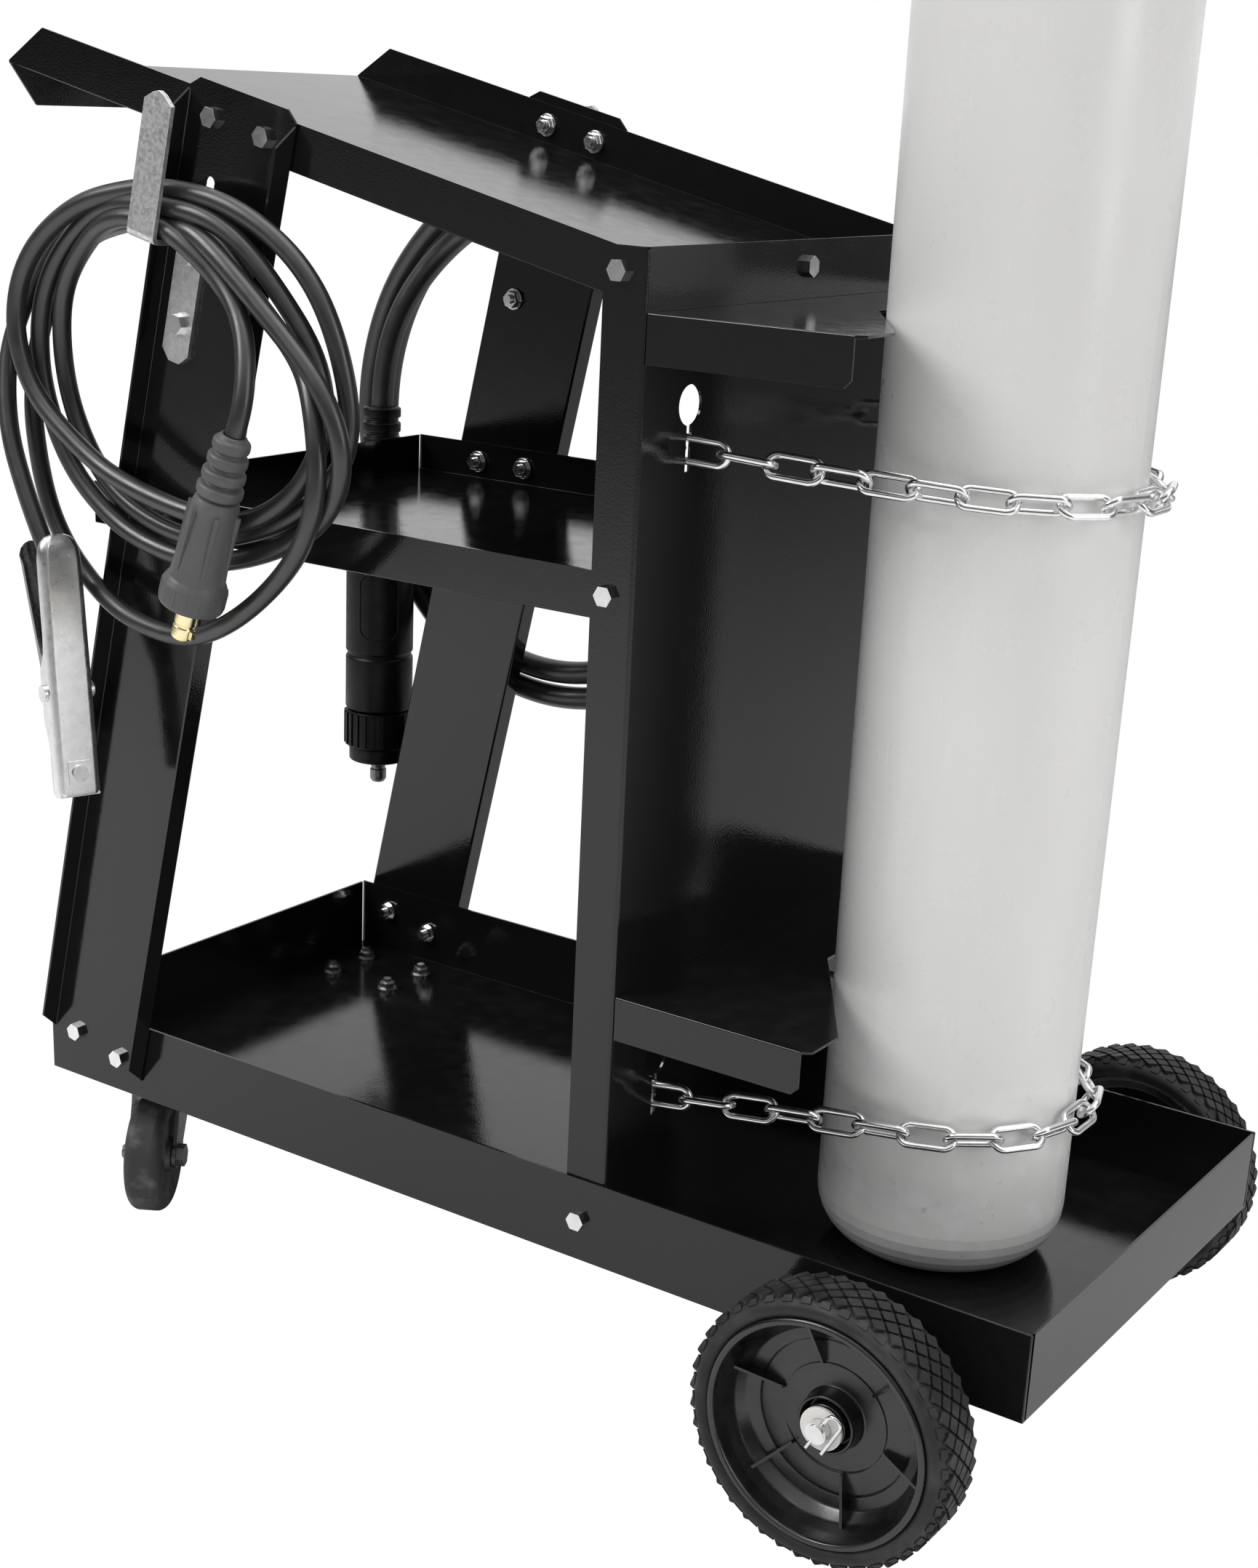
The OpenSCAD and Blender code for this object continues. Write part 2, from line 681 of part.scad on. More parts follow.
module caster_bolts() color("#bfc2c6") for (s = [-1, 1]) {
    swivel(s, 0) for (p = caster_holes) translate([p[0], p[1], plate_z]) {
        rotate([180, 0, 0]) bolt(caster_t + sheet + nut_h + bolt_stub);
        translate([0, 0, caster_t + sheet + 0.05]) rotate([180, 0, 0]) nut();
    }
}

// Crown plate and two tapering cheeks that reach down to the wheel's axle.
module fork() difference() {
    union() {
        translate([0, 0, caster_fork_z]) difference() {
            union() {
                cylinder(r = crown_r, h = caster_t);
                translate([0, -fork_in - caster_t, 0]) {
                    cube([crown_r - 1, 2 * (fork_in + caster_t), caster_t]);
                }
            }
            translate([0, 0, -1]) cylinder(d = kingpin_d + 2 * run_fit, h = caster_t + 2);
        }
        cheek = [[-16, crown_z], [-15, crown_z - 8], [caster_trail - 7.6, caster_r - 4],
            [caster_trail + 7.8, caster_r - 3], [crown_r + 2, crown_z - 12], [crown_r - 1, crown_z]];
        for (y = [fork_in + caster_t, -fork_in]) translate([0, y, 0]) {
            upright(cheek, caster_t);
            translate([caster_trail, 0, caster_r]) rotate([90, 0, 0]) cylinder(r = 8.5, h = caster_t);
        }
    }
    hole_y(caster_trail, caster_r, caster_axle_d);
}

module caster_axle() translate([caster_trail, 0, caster_r]) rotate([90, 0, 0]) {
    reach = fork_in + caster_t;
    cylinder(d = caster_axle_d, h = 2 * reach + 9, center = true);
    for (s = [0, 1]) mirror([0, 0, s]) translate([0, 0, reach + 0.05]) {
        if (s == 0) cylinder(d1 = 13, d2 = 9, h = 4);
        else hexagon(13, 5);
    }
}

function caster_section() = let (r = caster_r, h = caster_w / 2, c = 7, b = caster_axle_d / 2)
    concat([[b + run_fit, -h - 0.8], [11, -h - 0.8], [12, -h + 2], [r - 12, -h + 2]],
        arc([r - c, -h + c], c, -80, -10), arc([r - c, h - c], c, 10, 80),
        [[r - 12, h - 2], [12, h - 2], [11, h + 0.8], [b + run_fit, h + 0.8]]);

module caster_wheel() translate([caster_trail, 0, caster_r]) rotate([90, 0, 0]) {
    rotate_extrude($fn = 72) polygon(caster_section());
}

module near_caster_fork() color("#5d6064") swivel(-1, near_swivel_a) fork();
module near_caster_axle() color("#9a9da0") swivel(-1, near_swivel_a) caster_axle();
module near_caster_wheel() color("#4b4c4d") swivel(-1, near_swivel_a) caster_wheel();
module far_caster_fork() color("#5d6064") swivel(1, far_swivel_a) fork();
module far_caster_axle() color("#9a9da0") swivel(1, far_swivel_a) caster_axle();
module far_caster_wheel() color("#4b4c4d") swivel(1, far_swivel_a) caster_wheel();

// ---------- gas cylinder ----------

shoulder_h = 62;
shoulder_z = cyl_h - shoulder_h;
neck_top = cyl_h + 14;
valve_z = neck_top;
outlet_z = 26;
spindle_d = 8;

// A height above the foot of the cylinder, which stands in the bottom tray.
module at_cylinder(z) at_tray([cyl_x, 0, sheet + cyl_lift + z]) children();

// Outer outline of the shell from the foot's middle to the neck, as (radius, height).
function shell_outline(r, z0, foot) = concat(
    [[0, z0 + 9], [24, z0 + 7], [r - foot - 6, z0 + 1]],
    arc([r - foot, z0 + foot], foot, -90, 0, 8),
    [for (i = [0:8]) let (a = i * 9.4) [r * cos(a), shoulder_z + (shoulder_h - z0) * sin(a)]]);

module gas_cylinder() color("#b9bab8") at_cylinder(0) difference() {
    union() {
        rotate_extrude($fn = 96) polygon(concat(shell_outline(cyl_r, 0, foot_r),
            [[neck_r, cyl_h - 4], [neck_r, neck_top], [0, neck_top]]));
    }
    rotate_extrude($fn = 96) polygon(concat(
        shell_outline(cyl_r - cyl_wall, cyl_wall, foot_r - cyl_wall),
        [[neck_r - 6, cyl_h - 12], [0, cyl_h - 12]]));
    translate([0, 0, cyl_h - 20]) cylinder(r = neck_r - 6, h = 60);
}

module neck_ring() color("#9fa1a0") at_cylinder(0) {
    translate([0, 0, cyl_h - 2]) difference() {
        cylinder(r = neck_r + 6, h = 12);
        translate([0, 0, -1]) cylinder(r = neck_r, h = 14);
    }
}

module cylinder_valve() color("#b08d4a") at_cylinder(valve_z) difference() {
    union() {
        translate([0, 0, -22]) cylinder(r = neck_r - 6, h = 24);
        cylinder(r = 15, h = 9);
        translate([0, 0, 8]) cylinder(r = 12.5, h = 40);
        translate([0, 0, outlet_z]) rotate([0, 90, 0]) cylinder(r = 10.5, h = 32);
        translate([0, 0, outlet_z]) rotate([0, -90, 0]) hexagon(14, 18);
    }
    translate([0, 0, 30]) cylinder(d = spindle_d + 2 * run_fit, h = 40);
    translate([14, 0, outlet_z]) rotate([0, 90, 0]) cylinder(r = 5, h = 40);
}

module valve_spindle() color("#c9ccd0") at_cylinder(valve_z) {
    translate([0, 0, 31]) cylinder(d = spindle_d, h = 35);
}

// Ribbed handwheel that grips the spindle.
module valve_handwheel() color("#2e3033") at_cylinder(valve_z + 50) {
    difference() {
        union() {
            cylinder(d = handwheel_d - 5, h = 14);
            for (a = [0:30:330]) rotate([0, 0, a]) {
                translate([handwheel_d / 2 - 4, 0, 0]) cylinder(r = 4, h = 14, $fn = 20);
            }
        }
        translate([0, 0, -1]) cylinder(d = spindle_d, h = 17);
        translate([0, 0, 9]) cylinder(d = handwheel_d - 16, h = 6);
        translate([0, 0, -1]) cylinder(d = handwheel_d - 22, h = 4);
    }
}

module outlet_cap() color("#3a5a3c") at_cylinder(valve_z + outlet_z) {
    rotate([0, 90, 0]) translate([0, 0, 20]) difference() {
        cylinder(r = 13.5, h = 15);
        translate([0, 0, -1]) cylinder(r = 10.5, h = 13);
    }
}

// ---------- chains ----------

// Plan of the chain from the near slot: straight to the cylinder, round it and straight back.
chain_r = cyl_r + (link_w - wire_d) * 0.36 + wire_d / 2 + chain_gap;
chain_start = [panel_x - sheet / 2 - cyl_x, -keyhole_y];
chain_far = norm(chain_start);
chain_straight = sqrt(chain_far * chain_far - chain_r * chain_r);
chain_touch = -180 + atan2(-chain_start[1], -chain_start[0]) + acos(chain_r / chain_far);
chain_bend = -2 * chain_touch * PI / 180 * chain_r;
chain_len = 2 * chain_straight + chain_bend;
chain_joint = 5;

function chain_xy(s) = s < chain_straight
    ? chain_start + (chain_r * [cos(chain_touch), sin(chain_touch)] - chain_start) * s / chain_straight
    : s < chain_straight + chain_bend
        ? let (a = chain_touch + (s - chain_straight) / chain_r * 180 / PI)
            chain_r * [cos(a), sin(a)]
        : let (m = chain_xy(chain_len - s)) [m[0], -m[1]];

function chain_point(s, sag) = let (p = chain_xy(s), m = min(1, abs(2 * s / chain_len - 1)))
    [p[0], p[1], -sag * (1 - m * m)];

// One welded link along +x, centred on the origin, lying in the x-y plane.
module chain_link() {
    mid = (link_w - wire_d) / 2;
    half = (link_in + wire_d) / 2 - mid;
    for (s = [-1, 1]) {
        translate([0, s * mid, 0]) rotate([0, 90, 0]) cylinder(d = wire_d, h = 2 * half, center = true);
        translate([s * half, 0, 0]) rotate([0, 0, -90 * s]) {
            rotate_extrude(angle = 180, $fn = 32) translate([mid, 0]) circle(d = wire_d, $fn = 16);
        }
    }
}

// A link whose ends rest at p and q, rolled about its own length.
module link_between(p, q, roll) {
    d = q - p;
    translate((p + q) / 2) rotate([0, -atan2(d[2], norm([d[0], d[1]])), atan2(d[1], d[0])]) {
        rotate([roll, 0, 0]) chain_link();
    }
}

// Links from the first one behind the near slot, through it, to the last behind the far slot.
links_inside = 2 * round((chain_len - 2 * link_pitch + 4 * chain_joint) / link_pitch / 2) + 1;
link_step = (chain_len + 2 * chain_joint) / (links_inside + 2);
function link_roll(i) = let (k = min(i, links_inside + 1 - i), turned = 45 * min(1, max(0, k) / 3))
    (i % 2 == 0 ? 90 : 0) - turned;

module chain(z, sag) at_tray([cyl_x, 0, z]) for (i = [-1:links_inside + 2]) {
    from = i * link_step - chain_joint;
    link_between(chain_point(from, sag), chain_point(from + link_step, sag), link_roll(i));
}

module upper_chain() color("#cfd2d5") chain(upper_hole_z - chain_drop, 12);
module lower_chain() color("#cfd2d5") chain(lower_hole_z - chain_drop, -9);

// ---------- cords ----------

// Unit vector, and the two directions across a route at point i, kept level where it can be.
function unit(v) = v / norm(v);
function along(path, i) = unit(path[min(i + 1, len(path) - 1)] - path[max(i - 1, 0)]);
function across(t) = unit(cross(t, abs(t[1]) < 0.9 ? [0, 1, 0] : [1, 0, 0]));

// A round tube swept along a route as one polyhedron with flat ends.
module tube(path, d, sides = 10) {
    n = len(path);
    points = [for (i = [0:n - 1]) let (t = along(path, i), u = across(t), v = cross(t, u))
        for (k = [0:sides - 1]) let (a = 360 * k / sides)
            path[i] + d / 2 * (cos(a) * u + sin(a) * v)];
    walls = [for (i = [0:n - 2], k = [0:sides - 1]) let (m = (k + 1) % sides)
        [i * sides + k, (i + 1) * sides + k, (i + 1) * sides + m, i * sides + m]];
    caps = [[for (k = [0:sides - 1]) k], [for (k = [sides - 1:-1:0]) (n - 1) * sides + k]];
    polyhedron(points, concat(walls, caps));
}

// Points round an upright ellipse.
function oval(a, b, n = 60) = [for (i = [0:n - 1]) [a * cos(360 * i / n), b * sin(360 * i / n)]];

// Closed band that stands for a coil of cable hung in an upright plane.
module oval_coil(a, b, depth, width) rotate([90, 0, 0]) {
    linear_extrude(width, center = true) difference() {
        polygon(oval(a + depth, b + depth));
        polygon(oval(a, b));
    }
}

// Closed ring with blunted edges that stands for a round coil.
module coil_ring(r_in, depth, width) rotate([90, 0, 0]) rotate_extrude($fn = 72) {
    c = 4;
    translate([r_in, -width / 2]) polygon([[c, 0], [depth - c, 0], [depth, c], [depth, width - c],
        [depth - c, width], [c, width], [0, width - c], [0, c]]);
}

// How far a coil's middle hangs below the hook's corner, dx beside it.
function hang(a, b, dx) = b * sqrt(1 - dx * dx / a / a) - coil_clear;

// A point at distance s along a line that leans by the given angle in the x-z plane.
function leaning(p, lean, s) = p + s * [sin(lean), 0, cos(lean)];

// A point (x, z) of the clamp's middle plane, in the near lead's frame.
function in_clamp(x, z) =
    let (r = x * cos(clamp_lean) + z * sin(clamp_lean), h = z * cos(clamp_lean) - x * sin(clamp_lean))
    clamp_at + [r * cos(clamp_turn), r * sin(clamp_turn), h];

plug_route = concat([[-7, -33, 7.5], [5, -32.8, 6.8], [17, -32.8, 4], [27, -33, -0.5],
    [38, -32.5, -8], [49, -31, -15.5], [60, -30.5, -24], [71, -32.5, -33.5], [80.5, -37, -45],
    [88, -43, -60], [92.3, -48.5, -74], [93.5, -52.5, -88]],
    [for (s = [126, 104, 72]) leaning(plug_at, plug_lean, s)]);
loop_route = [[-47, -12.5, -3], [-65, -8, -9], [-83, -7, -22.5], [-97, -7.5, -41],
    [-106, -8.5, -61], [-111, -10, -85], [-112.4, -12, -109], [-109, -12.5, -134],
    [-100.9, -13, -163.8], [-85, -14, -187.4], [-60.5, -18.5, -204.2], [-32.3, -24, -216.8],
    [-2.1, -28, -221.9], [29.9, -30, -222.3], [61.3, -32, -209.3], [89.7, -34.5, -189.7],
    [112.9, -37, -168.3], [127.2, -39, -148.6], [133.3, -38.5, -126.1], [132.3, -36.5, -106],
    [127, -33.5, -88], [121, -29.5, -77.5], [114, -24, -68.5], [106, -20, -61]];
clamp_route = concat([[-100, -12, -25], [-111, -12.5, -42], [-118, -15, -58], [-121.5, -20, -75],
    [-117.5, -27, -97], [-108, -34, -124], [-93.5, -38, -150], [-79.5, -41, -172.5],
    [-69, -42, -189]], [for (z = [60, 45, 20]) in_clamp(1.7, z)]);
connector_route = [[-40, 23, -1], [-66, 26.5, -13], [-86, 26, -28.5], [-101.5, 21.5, -47],
    [-113, 16, -68], [-120, 12, -90], [-123, 9, -113], [-124, 8.5, -139], [-124, 8.5, -169]];
handle_route = concat([[152, 15.5, -46], [170, 15.5, -59], [189, 15.5, -71], [206, 15.5, -85],
    [218, 15.5, -99], [225, 15.5, -115]],
    [for (s = [10, -16]) leaning(torch_at, torch_lean, s)]);

module earth_cable_coil() color("#2c2d2f") near_lead() {
    translate([earth_coil_x, earth_coil_y, -hang(earth_coil_a, earth_coil_b, earth_coil_x)]) {
        oval_coil(earth_coil_a, earth_coil_b, earth_coil_t, earth_coil_w);
    }
}
module earth_cable_loop() color("#2c2d2f") near_lead() tube(loop_route, earth_d);
module earth_plug_tail() color("#2c2d2f") near_lead() tube(plug_route, earth_d);
module earth_clamp_tail() color("#2c2d2f") near_lead() tube(clamp_route, earth_d);

// Frame of the earth plug: the pin's end at z = 0, the cable at the top.
module plug_frame() near_lead() translate(plug_at) rotate([0, plug_lean, 0]) children();

sleeve_z = 20;
collar_r = 18.5;
sleeve_r = 15.5;
relief_z = 86;
relief_pitch = 9;

module earth_plug_sleeve() color("#333436") plug_frame() difference() {
    union() {
        translate([0, 0, sleeve_z]) cylinder(r1 = collar_r - 2.5, r2 = collar_r, h = 6);
        translate([0, 0, sleeve_z + 6]) cylinder(r = collar_r, h = 12);
        translate([0, 0, sleeve_z + 18]) cylinder(r1 = sleeve_r, r2 = 12.8, h = relief_z - sleeve_z - 18);
        for (i = [0:3]) translate([0, 0, relief_z + i * relief_pitch]) {
            cylinder(r = 10 - i * 0.6, h = relief_pitch);
            translate([0, 0, 2.5]) cylinder(r1 = 13 - i, r2 = 12 - i, h = relief_pitch - 3.5);
        }
    }
    translate([0, 0, sleeve_z - 1]) cylinder(d = plug_pin_d - 1, h = 36);
    translate([0, 0, 62]) cylinder(d = earth_d, h = 90);
}

module earth_plug_pin() color("#d0a94f") plug_frame() {
    cylinder(d1 = plug_pin_d - 2, d2 = plug_pin_d, h = 1);
    translate([0, 0, 1]) cylinder(d = plug_pin_d, h = sleeve_z - 1);
    translate([0, 0, sleeve_z]) cylinder(d = plug_pin_d - 1, h = 35);
}

// ---------- earth clamp ----------

// Frame of the clamp: origin at its pivot, z up along the front handle, x across the jaws.
module clamp_frame() near_lead() translate(clamp_at) rotate([0, clamp_lean, clamp_turn]) children();

pivot_d = 6;
jaw_t = 1.8;
jaw_x = 9;
jaw_lo = -62;
handle_hi = 92;
rivet_z = jaw_lo + 14;
lip_step = 0.3;

// One stamped jaw with its plate at +x: plate, side cheeks and the inturned tip. The handle is
// narrower than the jaw by a small step on each side.
module jaw(inset, fit, handle_turn) {
    w = clamp_w - 2 * inset;
    h = w - 2 * lip_step;
    cheek = [[-5, -16], [jaw_x, -30], [jaw_x, 24], [-5, 14]];
    translate([jaw_x - jaw_t, -w / 2, jaw_lo]) cube([jaw_t, w, -jaw_lo + 10]);
    rotate([0, handle_turn, 0]) {
        translate([jaw_x - jaw_t, 0, 0]) crosswise([[-h / 2, 0], [h / 2, 0], [h / 2, handle_hi - 8],
            [h / 2 - 8, handle_hi], [-h / 2 + 8, handle_hi], [-h / 2, handle_hi - 8]], jaw_t);
        for (y = [-h / 2 + jaw_t, h / 2]) translate([0, y, 0]) {
            upright([[jaw_x - 6, 12], [jaw_x, 4], [jaw_x, handle_hi - 10], [jaw_x - 4, handle_hi - 12]],
                jaw_t);
        }
    }
    for (y = [-w / 2 + jaw_t, w / 2]) translate([0, y, 0]) difference() {
        upright(cheek, jaw_t);
        hole_y(0, 0, pivot_d + 2 * fit);
    }
    translate([0.6, -w / 2, jaw_lo]) cube([jaw_x - 0.6, w, 2.5]);
}

module clamp_front_jaw() color("#c8cbce") clamp_frame() difference() {
    jaw(0, 0, 0);
    translate([jaw_x, 0, rivet_z]) rotate([0, 90, 0]) cylinder(d = 6.2, h = 20, center = true);
}
module clamp_back_jaw() color("#b4b7ba") clamp_frame() mirror([1, 0, 0]) {
    jaw(jaw_t + 0.4, run_fit, clamp_open);
}

module clamp_pivot() color("#a5a8ab") clamp_frame() rotate([90, 0, 0]) {
    cylinder(d = pivot_d, h = clamp_w + 4, center = true);
    for (s = [-1, 1]) translate([0, 0, s * (clamp_w / 2 + 1.1)]) cylinder(d = 10, h = 2, center = true);
}

module clamp_spring() color("#8f9295") clamp_frame() for (i = [-3:3]) {
    translate([0, i * 2.2, 0]) rotate([90, 0, 0]) {
        rotate_extrude($fn = 32) translate([5.2, 0]) circle(r = 1, $fn = 12);
    }
}

module clamp_contacts() color("#c9ccd0") clamp_frame() {
    translate([jaw_x, 0, rivet_z]) rotate([0, 90, 0]) {
        cylinder(d = 10, h = 2);
        translate([0, 0, -7]) cylinder(d = 6.2, h = 8);
        translate([0, 0, -7.6]) cylinder(d = 9, h = 2);
    }
}

// ---------- torch lead ----------

module torch_cable_coil() color("#2a2b2d") far_lead() {
    translate([torch_coil_x, torch_coil_y, -hang(torch_coil_r, torch_coil_r, torch_coil_x)]) {
        rotate([0, 0, -torch_swing]) coil_ring(torch_coil_r, torch_coil_t, torch_coil_w);
    }
}
module torch_connector_tail() color("#2a2b2d") far_lead() tube(connector_route, torch_d);
module torch_handle_tail() color("#2a2b2d") far_lead() tube(handle_route, torch_d);

nut_r = 20;
conn_pin_d = 12;
conn_nut_z = 29;
conn_nut_h = 27;
relief_r = 13.5;
relief_step = 10.5;
conn_top = 214;
conn_relief_z = conn_top + 32;

// Frame of the connector, which hangs upright: the pin's end at z = 0.
module connector_frame() far_lead() translate(conn_at) children();

module connector_body() color("#26272a") connector_frame() difference() {
    union() {
        rotate_extrude($fn = 64) polygon([[0, 18], [21.5, 18], [21.5, conn_nut_z - 0.5],
            [nut_r, conn_nut_z], [nut_r, conn_nut_z + conn_nut_h + 0.3],
            [conn_r, conn_nut_z + conn_nut_h + 0.8], [conn_r, conn_top], [20, conn_top + 18],
            [relief_r, conn_relief_z], [0, conn_relief_z]]);
        for (i = [0:2]) translate([0, 0, conn_relief_z - 1 + i * relief_step]) {
            cylinder(r = relief_r - 2, h = relief_step);
            translate([0, 0, 3]) cylinder(r = relief_r, h = 7);
        }
    }
    translate([0, 0, 17]) cylinder(d = conn_pin_d - 1, h = 29);
    translate([0, 0, conn_relief_z - 6]) cylinder(d = torch_d, h = 60);
}

// Knurled ring that turns on the connector.
module connector_nut() color("#1f2022") connector_frame() translate([0, 0, conn_nut_z + 0.1]) {
    difference() {
        union() {
            cylinder(r = conn_r - 0.2, h = conn_nut_h);
            for (a = [0:15:345]) rotate([0, 0, a]) {
                translate([conn_r - 0.8, -1.4, 1.5]) cube([2, 2.8, conn_nut_h - 3]);
            }
        }
        translate([0, 0, -1]) cylinder(r = nut_r + run_fit, h = conn_nut_h + 2);
    }
}

module connector_pin() color("#3a3b3d") connector_frame() {
    cylinder(d1 = conn_pin_d - 3, d2 = conn_pin_d, h = 2);
    translate([0, 0, 2]) cylinder(d = conn_pin_d, h = 16);
    translate([0, 0, 18]) cylinder(d = conn_pin_d - 1, h = 28);
}

// Frame of the torch: its cable end at z = 0, hanging down along -z, front towards +x.
module torch_frame() far_lead() translate(torch_at) rotate([0, torch_lean, 0]) children();

handle_l = 150;
trigger_z = -58;
trigger_pin_d = 3;

trigger_y = 4.6;

// The trigger's pivot, which runs across the slot in the handle.
module trigger_pin(d, l) {
    translate([handle_r - 3, 0, trigger_z + 8]) rotate([90, 0, 0]) cylinder(d = d, h = l, center = true);
}

module torch_handle() color("#202124") torch_frame() {
    difference() {
        union() {
            rotate_extrude($fn = 48) polygon([[0, 0], [handle_r - 5, 0], [handle_r - 3, -12],
                [handle_r, -24], [handle_r - 1.5, -80], [handle_r, -130], [handle_r - 4, -handle_l],
                [0, -handle_l]]);
            translate([0, -9, trigger_z - 30]) cube([handle_r + 3, 18, 46]);
        }
        translate([0, 0, -18]) cylinder(d = torch_d, h = 20);
        translate([7, -5, trigger_z - 26]) cube([20, 10, 38]);
        translate([0, 0, -handle_l - 1]) cylinder(d = neck_d, h = 29);
    }
    trigger_pin(trigger_pin_d, 14);
}

module torch_trigger() color("#8a2a25") torch_frame() difference() {
    side = [[10, trigger_z + 10], [10, trigger_z - 22], [handle_r + 1, trigger_z - 24],
        [handle_r + 8, trigger_z - 16], [handle_r + 6, trigger_z + 2], [handle_r + 1, trigger_z + 11]];
    translate([0, trigger_y, 0]) upright(side, 2 * trigger_y);
    trigger_pin(trigger_pin_d + 2 * run_fit, 40);
}

neck_d = 14;
neck_bend = 42;
neck_turn = 50;
stem_z = -handle_l - 30;

// Frame at the end of the neck's arc, with z along the nozzle.
module neck_out() translate([neck_bend, 0, stem_z]) {
    rotate([0, -neck_turn, 0]) translate([-neck_bend, 0, 0]) rotate([180, 0, 0]) children();
}

// Bent gooseneck: a straight stem, an arc and a short straight end.
module torch_neck() color("#a9adb0") torch_frame() {
    translate([0, 0, stem_z - 1]) cylinder(d = neck_d, h = 59);
    translate([neck_bend, 0, stem_z]) rotate([90, 180, 0]) {
        rotate_extrude(angle = neck_turn) translate([neck_bend, 0]) circle(d = neck_d - 0.6, $fn = 32);
    }
    neck_out() translate([0, 0, -1]) cylinder(d = neck_d, h = 21);
}

module torch_nozzle() color("#b5703f") torch_frame() neck_out() difference() {
    translate([0, 0, 14]) cylinder(r1 = 11.5, r2 = 9.5, h = 58);
    translate([0, 0, 20]) cylinder(r = 8, h = 60);
    translate([0, 0, 13]) cylinder(d = neck_d, h = 8);
}

module torch_tip() color("#c27b46") torch_frame() neck_out() translate([0, 0, 20]) {
    cylinder(d = 10, h = 16);
    translate([0, 0, 16]) cylinder(d1 = 8, d2 = 6, h = 26);
}

// ---------- what is drawn ----------

bottom_tray();
rear_panel();
middle_shelf();
top_tray();
near_leg();
far_leg();
near_cable_hook();
far_cable_hook();
upper_cylinder_bracket();
lower_cylinder_bracket();
frame_bolts();
frame_nuts();
axle_brackets();
wheel_axle();
axle_washers();
hairpin_clips();
near_wheel_rim();
near_wheel_tyre();
far_wheel_rim();
far_wheel_tyre();
caster_plates();
caster_bolts();
caster_kingpins();
near_caster_fork();
near_caster_axle();
near_caster_wheel();
far_caster_fork();
far_caster_axle();
far_caster_wheel();
upper_chain();
lower_chain();
gas_cylinder();
neck_ring();
cylinder_valve();
valve_spindle();
valve_handwheel();
outlet_cap();
earth_cable_coil();
earth_cable_loop();
earth_plug_tail();
earth_clamp_tail();
earth_plug_sleeve();
earth_plug_pin();
clamp_front_jaw();
clamp_back_jaw();
clamp_pivot();
clamp_spring();
clamp_contacts();
torch_cable_coil();
torch_connector_tail();
torch_handle_tail();
connector_body();
connector_nut();
connector_pin();
torch_handle();
torch_trigger();
torch_neck();
torch_nozzle();
torch_tip();
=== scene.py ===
"""Looks of a three-tier welding trolley with its gas cylinder and two leads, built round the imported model."""

from __future__ import annotations

import json
import logging
import math
from dataclasses import dataclass, field
from enum import Enum
from typing import Callable, Iterable, Sequence

import bmesh
import bpy
from mathutils import Matrix, Vector

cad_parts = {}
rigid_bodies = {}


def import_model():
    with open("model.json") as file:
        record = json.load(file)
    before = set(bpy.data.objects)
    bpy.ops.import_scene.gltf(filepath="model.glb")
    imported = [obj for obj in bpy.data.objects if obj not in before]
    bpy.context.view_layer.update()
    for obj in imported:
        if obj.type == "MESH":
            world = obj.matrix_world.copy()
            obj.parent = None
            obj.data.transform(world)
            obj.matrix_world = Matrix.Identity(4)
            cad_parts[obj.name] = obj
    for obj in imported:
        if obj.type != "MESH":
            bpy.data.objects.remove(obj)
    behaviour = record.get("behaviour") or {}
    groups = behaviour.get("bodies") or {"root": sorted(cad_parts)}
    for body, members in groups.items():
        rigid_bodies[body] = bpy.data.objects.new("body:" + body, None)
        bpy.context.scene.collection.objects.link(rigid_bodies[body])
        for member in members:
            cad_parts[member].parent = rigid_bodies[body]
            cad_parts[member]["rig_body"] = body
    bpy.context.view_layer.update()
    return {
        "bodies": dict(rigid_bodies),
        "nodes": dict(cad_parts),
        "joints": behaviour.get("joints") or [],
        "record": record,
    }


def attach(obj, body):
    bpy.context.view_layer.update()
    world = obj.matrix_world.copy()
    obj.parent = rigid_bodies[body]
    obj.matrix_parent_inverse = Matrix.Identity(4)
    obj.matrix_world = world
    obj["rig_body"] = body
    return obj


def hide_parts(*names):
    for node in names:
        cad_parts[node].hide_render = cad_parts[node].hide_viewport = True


log = logging.getLogger("trolley")

MM = 0.001
ROOT = "trolley_frame"
# Height of the bottom tray's deck in metres.
DECK = 0.088
# Origins of the two leads: the corner of each hook's seat that its coil bears on.
NEAR_LEAD = Vector((-0.213661, -0.1565, 0.628827))
FAR_LEAD = Vector((-0.213661, 0.1565, 0.628827))
SENSOR_WIDTH = 36.0

# Points closer than this are joined, in metres.
DOUBLED = 2e-6
# Edges of a sheet that turn by less than this aren't folds.
FOLD_ANGLE = math.radians(30)
# Edges of a small shape that turn by more than this are bevelled.
SHARP_ANGLE = math.radians(25)
# Share of a straight stretch that one rounded corner may take.
LONGEST_REACH = 0.45

Point = Sequence[float]
Span = tuple[float, float]
Profile = Sequence[Span]
Color = tuple[float, float, float, float]
Mesh = bmesh.types.BMesh
Socket = bpy.types.NodeSocket


class Side(Enum):
    """Which side of the trolley a mirrored part is on."""

    NEAR = -1
    FAR = 1

    @property
    def word(self) -> str:
        """The side as the CAD nodes spell it."""
        return self.name.lower()


# ---------- node graphs ----------


